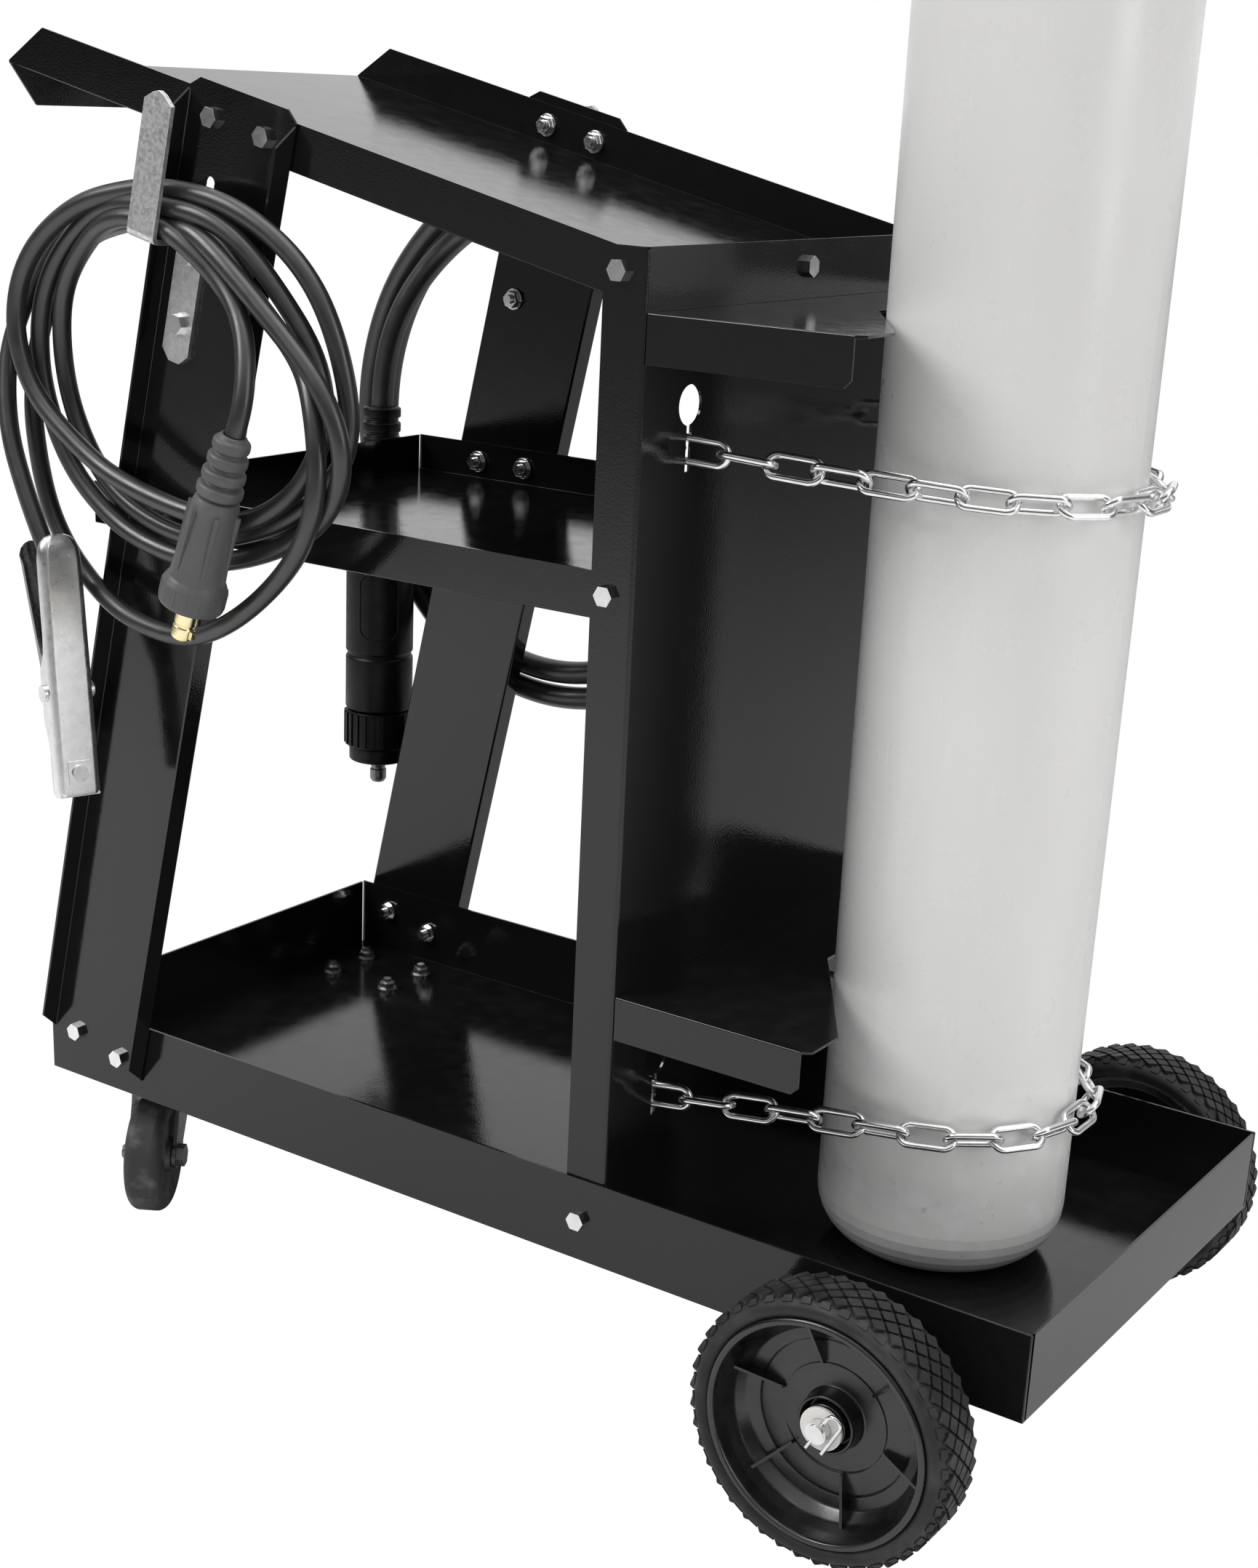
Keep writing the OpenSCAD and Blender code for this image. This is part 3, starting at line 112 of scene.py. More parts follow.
class Graph:
    """A material's or a world's node tree, with short calls for the nodes that the finishes use."""

    def __init__(self, owner: bpy.types.Material | bpy.types.World) -> None:
        """Empties the tree of its owner.

        Args:
            owner: The material or world whose nodes are built.
        """
        owner.use_nodes = True
        self.tree = owner.node_tree
        self.tree.nodes.clear()

    def add(self, kind: str, settings: dict | None = None, **sockets: object) -> bpy.types.Node:
        """Adds a node and fills in its sockets.

        Args:
            kind: Node type without its ShaderNode prefix.
            settings: Values of the node's own properties.
            **sockets: Values or outputs by socket name, with _ for a space.

        Returns:
            The new node.
        """
        node = self.tree.nodes.new("ShaderNode" + kind)
        for name, value in (settings or {}).items():
            setattr(node, name, value)
        for name, value in sockets.items():
            self.feed(node.inputs[name.replace("_", " ")], value)
        return node

    def feed(self, socket: Socket, value: object) -> None:
        """Links an output, or a node's first one, to a socket, or writes a constant on it."""
        if isinstance(value, bpy.types.Node):
            value = value.outputs[0]
        if isinstance(value, Socket):
            self.tree.links.new(value, socket)
        else:
            socket.default_value = value

    def place(self) -> Socket:
        """Object coordinates, in metres."""
        return self.add("TexCoord").outputs["Object"]

    def axis(self, name: str, vector: object = None) -> Socket:
        """One coordinate of a vector, or of the object coordinates."""
        return self.add("SeparateXYZ", Vector=vector or self.place()).outputs[name]

    def stretched(self, scale: Point, turn: Point = (0.0, 0.0, 0.0)) -> Socket:
        """Object coordinates, turned and then scaled by a different factor along each axis."""
        node = self.add("Mapping", Vector=self.place(), Scale=tuple(scale), Rotation=tuple(turn))
        return node.outputs["Vector"]

    def noise(self, scale: float, detail: float = 3.0, place: object = None) -> Socket:
        """Fractal noise from 0 to 1 at the given number of cells per metre."""
        node = self.add("TexNoise", Vector=place or self.place(), Scale=scale, Detail=detail)
        return node.outputs[0]

    def uneven(self, scale: float, detail: float, limits: Span, window: Span = (0.3, 0.7)) -> Socket:
        """Noise of which a window of values is spread between two limits."""
        return self.remap(self.noise(scale, detail), *window, *limits)

    def cells(self, scale: float, output: str = "Distance") -> Socket:
        """Voronoi cells: distance to their middle, or their colour."""
        return self.add("TexVoronoi", Vector=self.place(), Scale=scale).outputs[output]

    def remap(self, value: object, lo: float, hi: float, to_lo: float = 0.0, to_hi: float = 1.0) -> Socket:
        """Maps one range onto another, and keeps within it."""
        node = self.add("MapRange", Value=value)
        for name, number in (("From Min", lo), ("From Max", hi), ("To Min", to_lo), ("To Max", to_hi)):
            node.inputs[name].default_value = number
        return node.outputs["Result"]

    def maths(self, operation: str, a: object, b: object) -> Socket:
        """One step of arithmetic."""
        node = self.add("Math", {"operation": operation})
        self.feed(node.inputs[0], a)
        self.feed(node.inputs[1], b)
        return node.outputs[0]

    def times(self, a: object, b: object) -> Socket:
        """Product of two values."""
        return self.maths("MULTIPLY", a, b)

    def plus(self, a: object, b: object) -> Socket:
        """Sum of two values."""
        return self.maths("ADD", a, b)

    def most(self, a: object, b: object) -> Socket:
        """The larger of two values."""
        return self.maths("MAXIMUM", a, b)

    def mix(self, factor: object, a: object, b: object) -> Socket:
        """Mixes two colours."""
        node = self.add("Mix", {"data_type": "RGBA"})
        self.feed(node.inputs[0], factor)
        self.feed(node.inputs[6], a)
        self.feed(node.inputs[7], b)
        return node.outputs[2]

    def upward(self) -> Socket:
        """How far a surface faces up, from -1 to 1."""
        return self.axis("Z", self.add("NewGeometry").outputs["Normal"])

    def bump(self, height: object, depth: float, strength: float, normal: object = None) -> Socket:
        """Relief from a height, with its depth in metres."""
        node = self.add("Bump", Height=height, Distance=depth, Strength=strength)
        if normal is not None:
            self.feed(node.inputs["Normal"], normal)
        return node.outputs["Normal"]

    def either(self, factor: object, first: object, second: object) -> Socket:
        """Mixes two shaders."""
        node = self.add("MixShader", Fac=factor)
        self.feed(node.inputs[1], first)
        self.feed(node.inputs[2], second)
        return node.outputs[0]

    def end(self, kind: str, shader: object) -> None:
        """Ends the tree in an output for its surface."""
        self.add(kind, Surface=shader)

    def surface(self, **sockets: object) -> None:
        """Ends the material in a principled surface."""
        self.end("OutputMaterial", self.add("BsdfPrincipled", **sockets))


def grey(value: float, warm: float = 0.0) -> Color:
    """A grey with an optional shift towards warm."""
    return (value * (1 + warm), value, value * (1 - warm), 1.0)


def tint(value: float, blue: float) -> Color:
    """A grey whose blue is set apart."""
    return (value, value, blue, 1.0)


def darker(color: Color, share: float) -> Color:
    """A colour at a share of its strength."""
    return tuple(c * share for c in color[:3]) + (1.0,)


@dataclass(frozen=True)
class Finish:
    """What a surface is made of.

    Attributes:
        name: Name of the material.
    """

    name: str

    def draw(self, graph: Graph) -> None:
        """Builds the nodes."""
        raise NotImplementedError

    def material(self) -> bpy.types.Material:
        """The material, made once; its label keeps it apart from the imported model's own materials."""
        label = "finish_" + self.name
        known = bpy.data.materials.get(label)
        if known:
            return known
        made = bpy.data.materials.new(label)
        self.draw(Graph(made))
        return made


@dataclass(frozen=True)
class PowderCoat(Finish):
    """Semi-gloss black powder coat with orange peel, and dust where it faces up.

    Attributes:
        base: Reflectance of the coat.
        gloss: Lowest and highest roughness.
        peel: Depth of the orange peel in metres.
        dust: Share of the upward faces that light specks cover.
    """

    base: float = 0.006
    gloss: Span = (0.065, 0.14)
    peel: float = 0.00005
    dust: float = 0.45

    def draw(self, graph: Graph) -> None:
        """Builds the nodes."""
        up = graph.remap(graph.upward(), 0.55, 0.95)
        specks = graph.remap(graph.cells(1300.0), 0.02, 0.10, 1.0, 0.0)
        patches = graph.uneven(26.0, 5.0, (0.0, self.dust), (0.38, 0.70))
        film = graph.uneven(60.0, 6.0, (0.0, 0.012), (0.45, 0.80))
        dusty = graph.times(up, graph.most(graph.times(specks, patches), film))
        coat = graph.mix(graph.noise(6.0), grey(self.base * 0.85), grey(self.base * 1.2))
        color = graph.mix(dusty, coat, grey(0.55))
        rough = graph.uneven(90.0, 5.0, self.gloss)
        rough = graph.plus(rough, graph.times(dusty, 0.5))
        peel = graph.bump(graph.noise(900.0, 2.0), self.peel, 0.55)
        wave = graph.bump(graph.noise(24.0, 1.0), 0.0012, 0.10, peel)
        graph.surface(Base_Color=color, Roughness=rough, Normal=wave, Specular_IOR_Level=0.5)


@dataclass(frozen=True)
class Plated(Finish):
    """Zinc or nickel plate on steel.

    Attributes:
        tone: Reflectance of the metal.
        rough: Lowest and highest roughness.
        spangle: Cells per metre of a crystal pattern, or 0 for none.
        relief: Strength of the fine marks.
    """

    tone: float = 0.62
    rough: Span = (0.18, 0.36)
    spangle: float = 0.0
    relief: float = 0.35

    def draw(self, graph: Graph) -> None:
        """Builds the nodes."""
        dull = graph.noise(160.0, 4.0)
        color = graph.mix(dull, grey(self.tone * 0.72), grey(self.tone))
        rough = graph.uneven(420.0, 4.0, self.rough)
        if self.spangle:
            crystal = graph.axis("X", graph.cells(self.spangle, "Color"))
            color = graph.mix(graph.remap(crystal, 0.0, 1.0, 0.0, 0.65), color, grey(self.tone * 0.5))
            rough = graph.plus(rough, graph.remap(crystal, 0.0, 1.0, 0.0, 0.14))
        marks = graph.bump(graph.noise(70.0, 5.0, graph.stretched((1.0, 1.0, 9.0))), 0.00012, self.relief)
        graph.surface(Base_Color=color, Metallic=1.0, Roughness=rough, Normal=marks)


@dataclass(frozen=True)
class BottlePaint(Finish):
    """Satin grey cylinder paint with vertical scuffs, more of them near the foot.

    Attributes:
        tone: Reflectance of the paint.
        foot: Height up to which the foot is scuffed, in metres.
        warm: Shift towards a warm tone.
        rough: Lowest and highest roughness.
    """

    tone: float = 0.70
    foot: float = 0.24
    warm: float = 0.008
    rough: Span = (0.24, 0.36)

    def draw(self, graph: Graph) -> None:
        """Builds the nodes."""
        low = graph.remap(graph.axis("Z"), DECK + 0.02, self.foot, 1.0, 0.0)
        scratch_map = graph.stretched((1.0, 1.0, 0.045), (0.03, 0.0, 0.0))
        scratches = graph.remap(graph.noise(620.0, 2.0, scratch_map), 0.665, 0.72)
        scratched = graph.uneven(14.0, 3.0, (0.0, 0.4), (0.42, 0.66))
        rubbed = graph.uneven(75.0, 6.0, (0.0, 0.75), (0.54, 0.64))
        marks = graph.most(graph.times(scratches, scratched), graph.times(rubbed, low))
        stains = graph.remap(graph.noise(11.0, 5.0, graph.stretched((1.0, 1.0, 0.35))), 0.30, 0.75)
        paint = graph.mix(stains, grey(self.tone * 0.93, self.warm), grey(self.tone * 1.05, self.warm))
        dark = graph.uneven(130.0, 6.0, (0.0, 0.45), (0.66, 0.73))
        color = graph.mix(graph.times(dark, low), graph.mix(marks, paint, grey(0.78)), grey(0.20))
        rough = graph.uneven(40.0, 4.0, self.rough)
        rough = graph.plus(rough, graph.times(marks, 0.2))
        relief = graph.bump(graph.noise(520.0, 2.0), 0.00004, 0.35)
        relief = graph.bump(graph.noise(7.0, 2.0), 0.002, 0.12, relief)
        graph.surface(Base_Color=color, Roughness=rough, Normal=relief, Specular_IOR_Level=0.5)


@dataclass(frozen=True)
class Moulded(Finish):
    """Moulded plastic or rubber.

    Attributes:
        color: Base colour.
        rough: Lowest and highest roughness.
        dust: Strength of pale scuffs and dust.
        grain: Cells per metre of the mould's grain.
        depth: Depth of the grain in metres.
        shine: Specular level, 0.5 being that of a common plastic.
    """

    color: Color
    rough: Span
    dust: float
    grain: float = 1400.0
    depth: float = 0.00005
    shine: float = 0.45

    def draw(self, graph: Graph) -> None:
        """Builds the nodes."""
        worn = graph.uneven(48.0, 6.0, (0.0, self.dust), (0.50, 0.74))
        specks = graph.remap(graph.cells(900.0), 0.03, 0.12, self.dust * 0.8, 0.0)
        pale = graph.most(worn, graph.times(specks, graph.noise(30.0, 3.0)))
        color = graph.mix(graph.noise(18.0), darker(self.color, 0.8), self.color)
        color = graph.mix(pale, color, grey(0.40))
        rough = graph.uneven(110.0, 4.0, self.rough)
        grain = graph.bump(graph.noise(self.grain, 2.0), self.depth, 0.6)
        graph.surface(Base_Color=color, Roughness=rough, Normal=grain, Specular_IOR_Level=self.shine)


@dataclass(frozen=True)
class Turned(Finish):
    """Bare coloured metal such as brass, copper or chrome, with fine tool marks.

    Attributes:
        color: Colour of the metal.
        rough: Lowest and highest roughness.
        stain: Share that is darkened.
    """

    color: Color
    rough: Span = (0.14, 0.30)
    stain: float = 0.25

    def draw(self, graph: Graph) -> None:
        """Builds the nodes."""
        patches = graph.uneven(90.0, 5.0, (0.0, self.stain), (0.45, 0.75))
        color = graph.mix(patches, self.color, darker(self.color, 0.6))
        rough = graph.uneven(300.0, 4.0, self.rough)
        lines = graph.bump(graph.noise(900.0, 2.0, graph.stretched((0.15, 0.15, 3.0))), 0.00003, 0.5)
        graph.surface(Base_Color=color, Metallic=1.0, Roughness=rough, Normal=lines)


COAT = PowderCoat("powder_coat_black", peel=0.00007)
COAT_CLEAN = PowderCoat("powder_coat_clean", dust=0.12, gloss=(0.06, 0.12), peel=0.00010)
HOOK_ZINC = Plated("zinc_spangled", tone=0.90, rough=(0.30, 0.46), spangle=420.0)
BOLT_ZINC = Plated("zinc_bright", tone=0.97, rough=(0.16, 0.26), relief=0.10)
CHAIN_ZINC = Plated("zinc_chain", tone=0.98, rough=(0.18, 0.26), relief=0.10)
CLAMP_STEEL = Plated("steel_stamped", tone=0.95, rough=(0.26, 0.38), relief=0.03)
# Painted shade: the back jaw's steel, which is the front jaw's stamped steel made darker.
CLAMP_PAINTED_SHADE = Plated("steel_stamped_dark", tone=0.34, rough=(0.18, 0.30), relief=0.05)
CASTER_STEEL = Plated("steel_dull", tone=0.26, rough=(0.28, 0.50))
BOTTLE = BottlePaint("cylinder_grey")
RIM_PLASTIC = Moulded("rim_plastic", tint(0.006, 0.0065), (0.22, 0.32), 0.02, shine=0.75)
TYRE_RUBBER = Moulded("tyre_rubber", tint(0.011, 0.0115), (0.48, 0.66), 0.08)
CASTER_RUBBER = Moulded("caster_rubber", tint(0.030, 0.030), (0.50, 0.72), 0.30)
CABLE_RUBBER = Moulded("cable_rubber", tint(0.022, 0.023), (0.30, 0.40), 0.02, shine=0.8)
PLUG_RUBBER = Moulded("plug_rubber", tint(0.092, 0.096), (0.40, 0.56), 0.10)
CONN_PLASTIC = Moulded("connector_plastic", tint(0.003, 0.0035), (0.34, 0.46), 0.01, shine=0.22)
TORCH_PLASTIC = Moulded("torch_plastic", tint(0.014, 0.015), (0.40, 0.55), 0.04)
TRIGGER_RED = Moulded("trigger_red", (0.42, 0.03, 0.02, 1.0), (0.30, 0.42), 0.02)
WHEEL_KNOB = Moulded("handwheel_plastic", tint(0.03, 0.032), (0.40, 0.60), 0.08)
CAP_PLASTIC = Moulded("cap_plastic", tint(0.05, 0.05), (0.38, 0.52), 0.05)
NYLON = Moulded("washer_nylon", (0.80, 0.79, 0.76, 1.0), (0.36, 0.50), 0.0)
PIN_BRASS = Turned("pin_brass", (0.96, 0.84, 0.50, 1.0), stain=0.12)
VALVE_BRASS = Turned("valve_brass", (0.60, 0.46, 0.22, 1.0), (0.28, 0.46), stain=0.5)
CHROME = Turned("neck_chrome", (0.62, 0.62, 0.61, 1.0), (0.08, 0.20))
COPPER = Turned("nozzle_copper", (0.72, 0.36, 0.20, 1.0), (0.20, 0.38), stain=0.5)

SLOT_FINISHES: dict[str, Finish] = {
    "powder_coat": COAT, "zinc_bar": HOOK_ZINC, "zinc_fasteners": BOLT_ZINC, "wheel_rim": RIM_PLASTIC,
    "wheel_tyre": TYRE_RUBBER, "caster_steel": CASTER_STEEL, "caster_rubber": CASTER_RUBBER,
    "chain_zinc": CHAIN_ZINC, "cylinder_paint": BOTTLE, "valve_brass": VALVE_BRASS,
    "spindle_steel": BOLT_ZINC, "handwheel_plastic": WHEEL_KNOB, "cap_plastic": CAP_PLASTIC,
    "cable_rubber": CABLE_RUBBER, "plug_rubber": PLUG_RUBBER, "pin_brass": PIN_BRASS,
    "clamp_steel": CLAMP_STEEL, "connector_plastic": CONN_PLASTIC, "torch_plastic": TORCH_PLASTIC,
    "trigger_plastic": TRIGGER_RED, "neck_chrome": CHROME, "nozzle_copper": COPPER,
}


# ---------- mesh helpers ----------


def add_object(name: str, data: bpy.types.ID) -> bpy.types.Object:
    """Puts mesh or curve data into the scene."""
    made = bpy.data.objects.new(name, data)
    bpy.context.scene.collection.objects.link(made)
    return made


def mesh_of(name: str, shape: Mesh) -> bpy.types.Mesh:
    """Mesh data from an editable mesh, which is freed."""
    data = bpy.data.meshes.new(name)
    shape.to_mesh(data)
    shape.free()
    return data


def vector(*numbers: float) -> Vector:
    """A dataclass field whose default is a vector."""
    return field(default_factory=lambda: Vector(numbers))


@dataclass
class Maker:
    """Turns meshes into pieces of the object.

    Attributes:
    """

    frame: dict

    def slot_of(self, node: str) -> str:
        """The record's material slot of a CAD node."""
        for part in self.frame["record"]["subparts"]:
            if part["node"] == node:
                return part["material_slot"]
        raise KeyError(node)

    def body_of(self, node: str) -> str:
        """The body that a CAD node rides on."""
        return self.frame["nodes"][node]["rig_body"]

    def piece(self, name: str, shapes: Iterable[Mesh], finish: Finish, node: str,
              place: Matrix = Matrix(), angle: float = 32.0) -> bpy.types.Object:
        """Makes a piece that stands for a CAD node and rides on its body.

        Args:
            name: Name of the piece.
            shapes: Its meshes, which are freed.
            finish: What it is made of.
            node: CAD node that it stands for.
            place: Where the meshes' frame is.
            angle: Edges sharper than this many degrees stay sharp.

        Returns:
            The new object.
        """
        shape = moved(joined(shapes), place)
        bmesh.ops.recalc_face_normals(shape, faces=shape.faces)
        data = mesh_of(name, shape)
        data.polygons.foreach_set("use_smooth", [True] * len(data.polygons))
        data.set_sharp_from_angle(angle=math.radians(angle))
        data.materials.append(finish.material())
        made = add_object(name, data)
        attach(made, self.body_of(node))
        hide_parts(node)
        log.info("piece %s: %d faces", name, len(data.polygons))
        return made

    def copy_of(self, node: str, whole: bool = True) -> Mesh:
        """A CAD node's mesh with its doubled points joined, and its flat faces whole if asked."""
        shape = bmesh.new()
        shape.from_mesh(self.frame["nodes"][node].data)
        bmesh.ops.remove_doubles(shape, verts=shape.verts, dist=DOUBLED)
        if whole:
            bmesh.ops.dissolve_limit(shape, angle_limit=math.radians(0.5), verts=shape.verts,
                                     edges=shape.edges)
        return shape


def even_normals(obj: bpy.types.Object) -> None:
    """Lets an object's large faces set its shading."""
    weighted = obj.modifiers.new("normals", "WEIGHTED_NORMAL")
    weighted.weight = 100
    weighted.keep_sharp = True


def blunt(obj: bpy.types.Object, width: float, segments: int = 2, angle: float = 38.0) -> None:
    """Rounds an object's edges with a modifier, after joining its doubled points."""
    weld = obj.modifiers.new("weld", "WELD")
    weld.merge_threshold = DOUBLED
    bevel = obj.modifiers.new("blunt", "BEVEL")
    bevel.width = width
    bevel.segments = segments
    bevel.limit_method = "ANGLE"
    bevel.angle_limit = math.radians(angle)
    bevel.use_clamp_overlap = True
    bevel.miter_outer = "MITER_ARC"
    even_normals(obj)


def skin(shape: Mesh, pairs: Iterable[tuple[list, list]]) -> None:
    """Closes the gaps between pairs of rings, where a ring may be a single point."""
    for low, high in pairs:
        steps = max(len(low), len(high))
        for k in range(steps):
            m = (k + 1) % steps
            corners = [low[k % len(low)], low[m % len(low)], high[m % len(high)], high[k % len(high)]]
            unique = list(dict.fromkeys(corners))
            if len(unique) > 2:
                shape.faces.new(unique)


def lathe(profile: Profile, steps: int = 64) -> Mesh:
    """Turns a profile of (radius, height) in millimetres round the z axis.

    Args:
        profile: Points from one end to the other. A radius of 0 closes an end.
        steps: Facets round the axis.

    Returns:
        The mesh.
    """
    shape = bmesh.new()
    rings: list[list[bmesh.types.BMVert]] = []
    for radius, height in profile:
        angles = [2 * math.pi * k / steps for k in range(steps if radius > 0.0 else 1)]
        rings.append([shape.verts.new((radius * math.cos(a) * MM, radius * math.sin(a) * MM, height * MM))
                      for a in angles])
    skin(shape, zip(rings, rings[1:]))
    return shape


def rounded(profile: Profile, radius: float, steps: int = 3) -> Profile:
    """Rounds the inner corners of an open profile with small arcs."""
    points = [Vector(p) for p in profile]
    out: list[Span] = [tuple(points[0])]
    for before, here, after in zip(points, points[1:], points[2:]):
        a, b = before - here, after - here
        reach = min(radius, a.length * LONGEST_REACH, b.length * LONGEST_REACH)
        start, end = here + a.normalized() * reach, here + b.normalized() * reach
        for i in range(steps + 1):
            t = i / steps
            out.append(tuple((1 - t) ** 2 * start + 2 * t * (1 - t) * here + t * t * end))
    out.append(tuple(points[-1]))
    return out


def prism(outline: Sequence[Point], low: float, high: float) -> Mesh:
    """A flat outline in x and y, in millimetres, pulled up from one height to another."""
    shape = bmesh.new()
    base = [shape.verts.new((x * MM, y * MM, low * MM)) for x, y in outline]
    lid = [shape.verts.new((x * MM, y * MM, high * MM)) for x, y in outline]
    shape.faces.new(base[::-1])
    shape.faces.new(lid)
    skin(shape, [(base, lid)])
    return shape


def wedge(x0: float, half0: float, x1: float, half1: float) -> list[Point]:
    """An outline that is one width at one x and another at the other."""
    return [(x0, -half0), (x1, -half1), (x1, half1), (x0, half0)]


def moved(shape: Mesh, place: Matrix) -> Mesh:
    """Moves a mesh and returns it."""
    bmesh.ops.transform(shape, matrix=place, verts=shape.verts)
    return shape


def joined(shapes: Iterable[Mesh]) -> Mesh:
    """Puts several meshes into one, without welding them."""
    whole = bmesh.new()
    for shape in shapes:
        data = mesh_of("joined", shape)
        whole.from_mesh(data)
        bpy.data.meshes.remove(data)
    return whole


def bevelled(shape: Mesh, width: float, segments: int = 2) -> Mesh:
    """Bevels every sharp edge, with the width in millimetres."""
    edges = [e for e in shape.edges if len(e.link_faces) == 2 and e.calc_face_angle(0.0) > SHARP_ANGLE]
    round_edges(shape, edges, width, segments)
    return shape


def round_edges(shape: Mesh, edges: Sequence[bmesh.types.BMEdge], width: float, segments: int) -> None:
    """Rounds edges of a mesh, with the width in millimetres."""
    bmesh.ops.bevel(shape, geom=edges, offset=width * MM, segments=segments, affect="EDGES", profile=0.5,
                    clamp_overlap=True)


def rotation(axis: str, degrees: float) -> Matrix:
    """A turn about an axis."""
    return Matrix.Rotation(math.radians(degrees), 4, axis)


def turned_to(place: Vector, *turns: tuple[str, float]) -> Matrix:
    """A place with turns in degrees about its axes, the last one applied first."""
    matrix = Matrix.Translation(place)
    for axis, degrees in turns:
        matrix = matrix @ rotation(axis, degrees)
    return matrix


def ring_of(bar: Callable[[], Mesh], count: int, radius: float, first: float = 0.0) -> list[Mesh]:
    """Copies of a bar, spread round the z axis.

    Args:
        bar: Makes one bar.
        count: Number of bars.
        radius: Their distance from the axis in millimetres.
        first: Where the first one stands, in degrees.

    Returns:
        The bars' meshes.
    """
    out = Matrix.Translation((radius * MM, 0, 0))
    return [moved(bar(), rotation("Z", first + k * 360 / count) @ out) for k in range(count)]


def wire(points: Sequence[Vector], radius: float, closed: bool = False, steps: int = 10) -> Mesh:
    """A round wire through points, in millimetres.

    Args:
        points: Middle line of the wire.
        radius: Half of its thickness.
        closed: Whether its end joins its start.
        steps: Facets round it.

    Returns:
        The mesh.
    """
    shape = bmesh.new()
    count = len(points)
    rings = []
    side = Vector((0.31, 0.57, 0.76))  # any direction that no stretch of the line follows
    for k, here in enumerate(points):
        before = points[(k - 1) % count if closed else max(k - 1, 0)]
        after = points[(k + 1) % count if closed else min(k + 1, count - 1)]
        along = (after - before).normalized()
        side = (side - along * side.dot(along)).normalized()
        other = along.cross(side)
        rings.append([shape.verts.new((here + radius * (side * math.cos(a) + other * math.sin(a))) * MM)
                      for a in (2 * math.pi * i / steps for i in range(steps))])
    pairs = list(zip(rings, rings[1:]))
    if closed:
        turn = min(range(steps), key=lambda i: (rings[-1][0].co - rings[0][i].co).length)
        pairs.append((rings[-1], rings[0][turn:] + rings[0][:turn]))
    else:
        shape.faces.new(rings[0][::-1])
        shape.faces.new(rings[-1])
    skin(shape, pairs)
    return shape


def smooth_path(points: Sequence[Point], origin: Vector, step: float = 5.0, passes: int = 12) -> list[Vector]:
    """A smooth line through route points.

    Args:
        points: Route points in millimetres from the origin.
        origin: Where the route's frame is, in metres.
        step: Length of a step in millimetres.
        passes: How often the line is relaxed.

    Returns:
        Points in metres.
    """
    route = [Vector(p) for p in points]
    ends = [2 * route[0] - route[1], *route, 2 * route[-1] - route[-2]]
    line: list[Vector] = []
    for a, b, c, d in zip(ends, ends[1:], ends[2:], ends[3:]):
        count = max(1, round((c - b).length / step))
        for i in range(count):
            t = i / count
            line.append(0.5 * (2 * b + (c - a) * t + (2 * a - 5 * b + 4 * c - d) * t * t
                               + (3 * b - a - 3 * c + d) * t ** 3))
    line.append(route[-1])
    for _ in range(passes):
        line = [line[0], line[1]] + [0.25 * p + 0.5 * q + 0.25 * r
                                     for p, q, r in zip(line[1:], line[2:], line[3:])] + [line[-1]]
    return [origin + p * MM for p in line]


def tube_curve(name: str, path: Sequence[Vector], diameter: float, finish: Finish) -> bpy.types.Object:
    """A round cord along a path, as one open spline."""
    data = bpy.data.curves.new(name, "CURVE")
    data.dimensions = "3D"
    data.bevel_depth = diameter / 2
    data.bevel_resolution = 5
    data.use_fill_caps = True
    spline = data.splines.new("POLY")
    spline.points.add(len(path) - 1)
    for point, place in zip(spline.points, path):
        point.co = (*place, 1.0)
    spline.use_smooth = True
    data.materials.append(finish.material())
    return add_object(name, data)


# ---------- camera, light and floor ----------


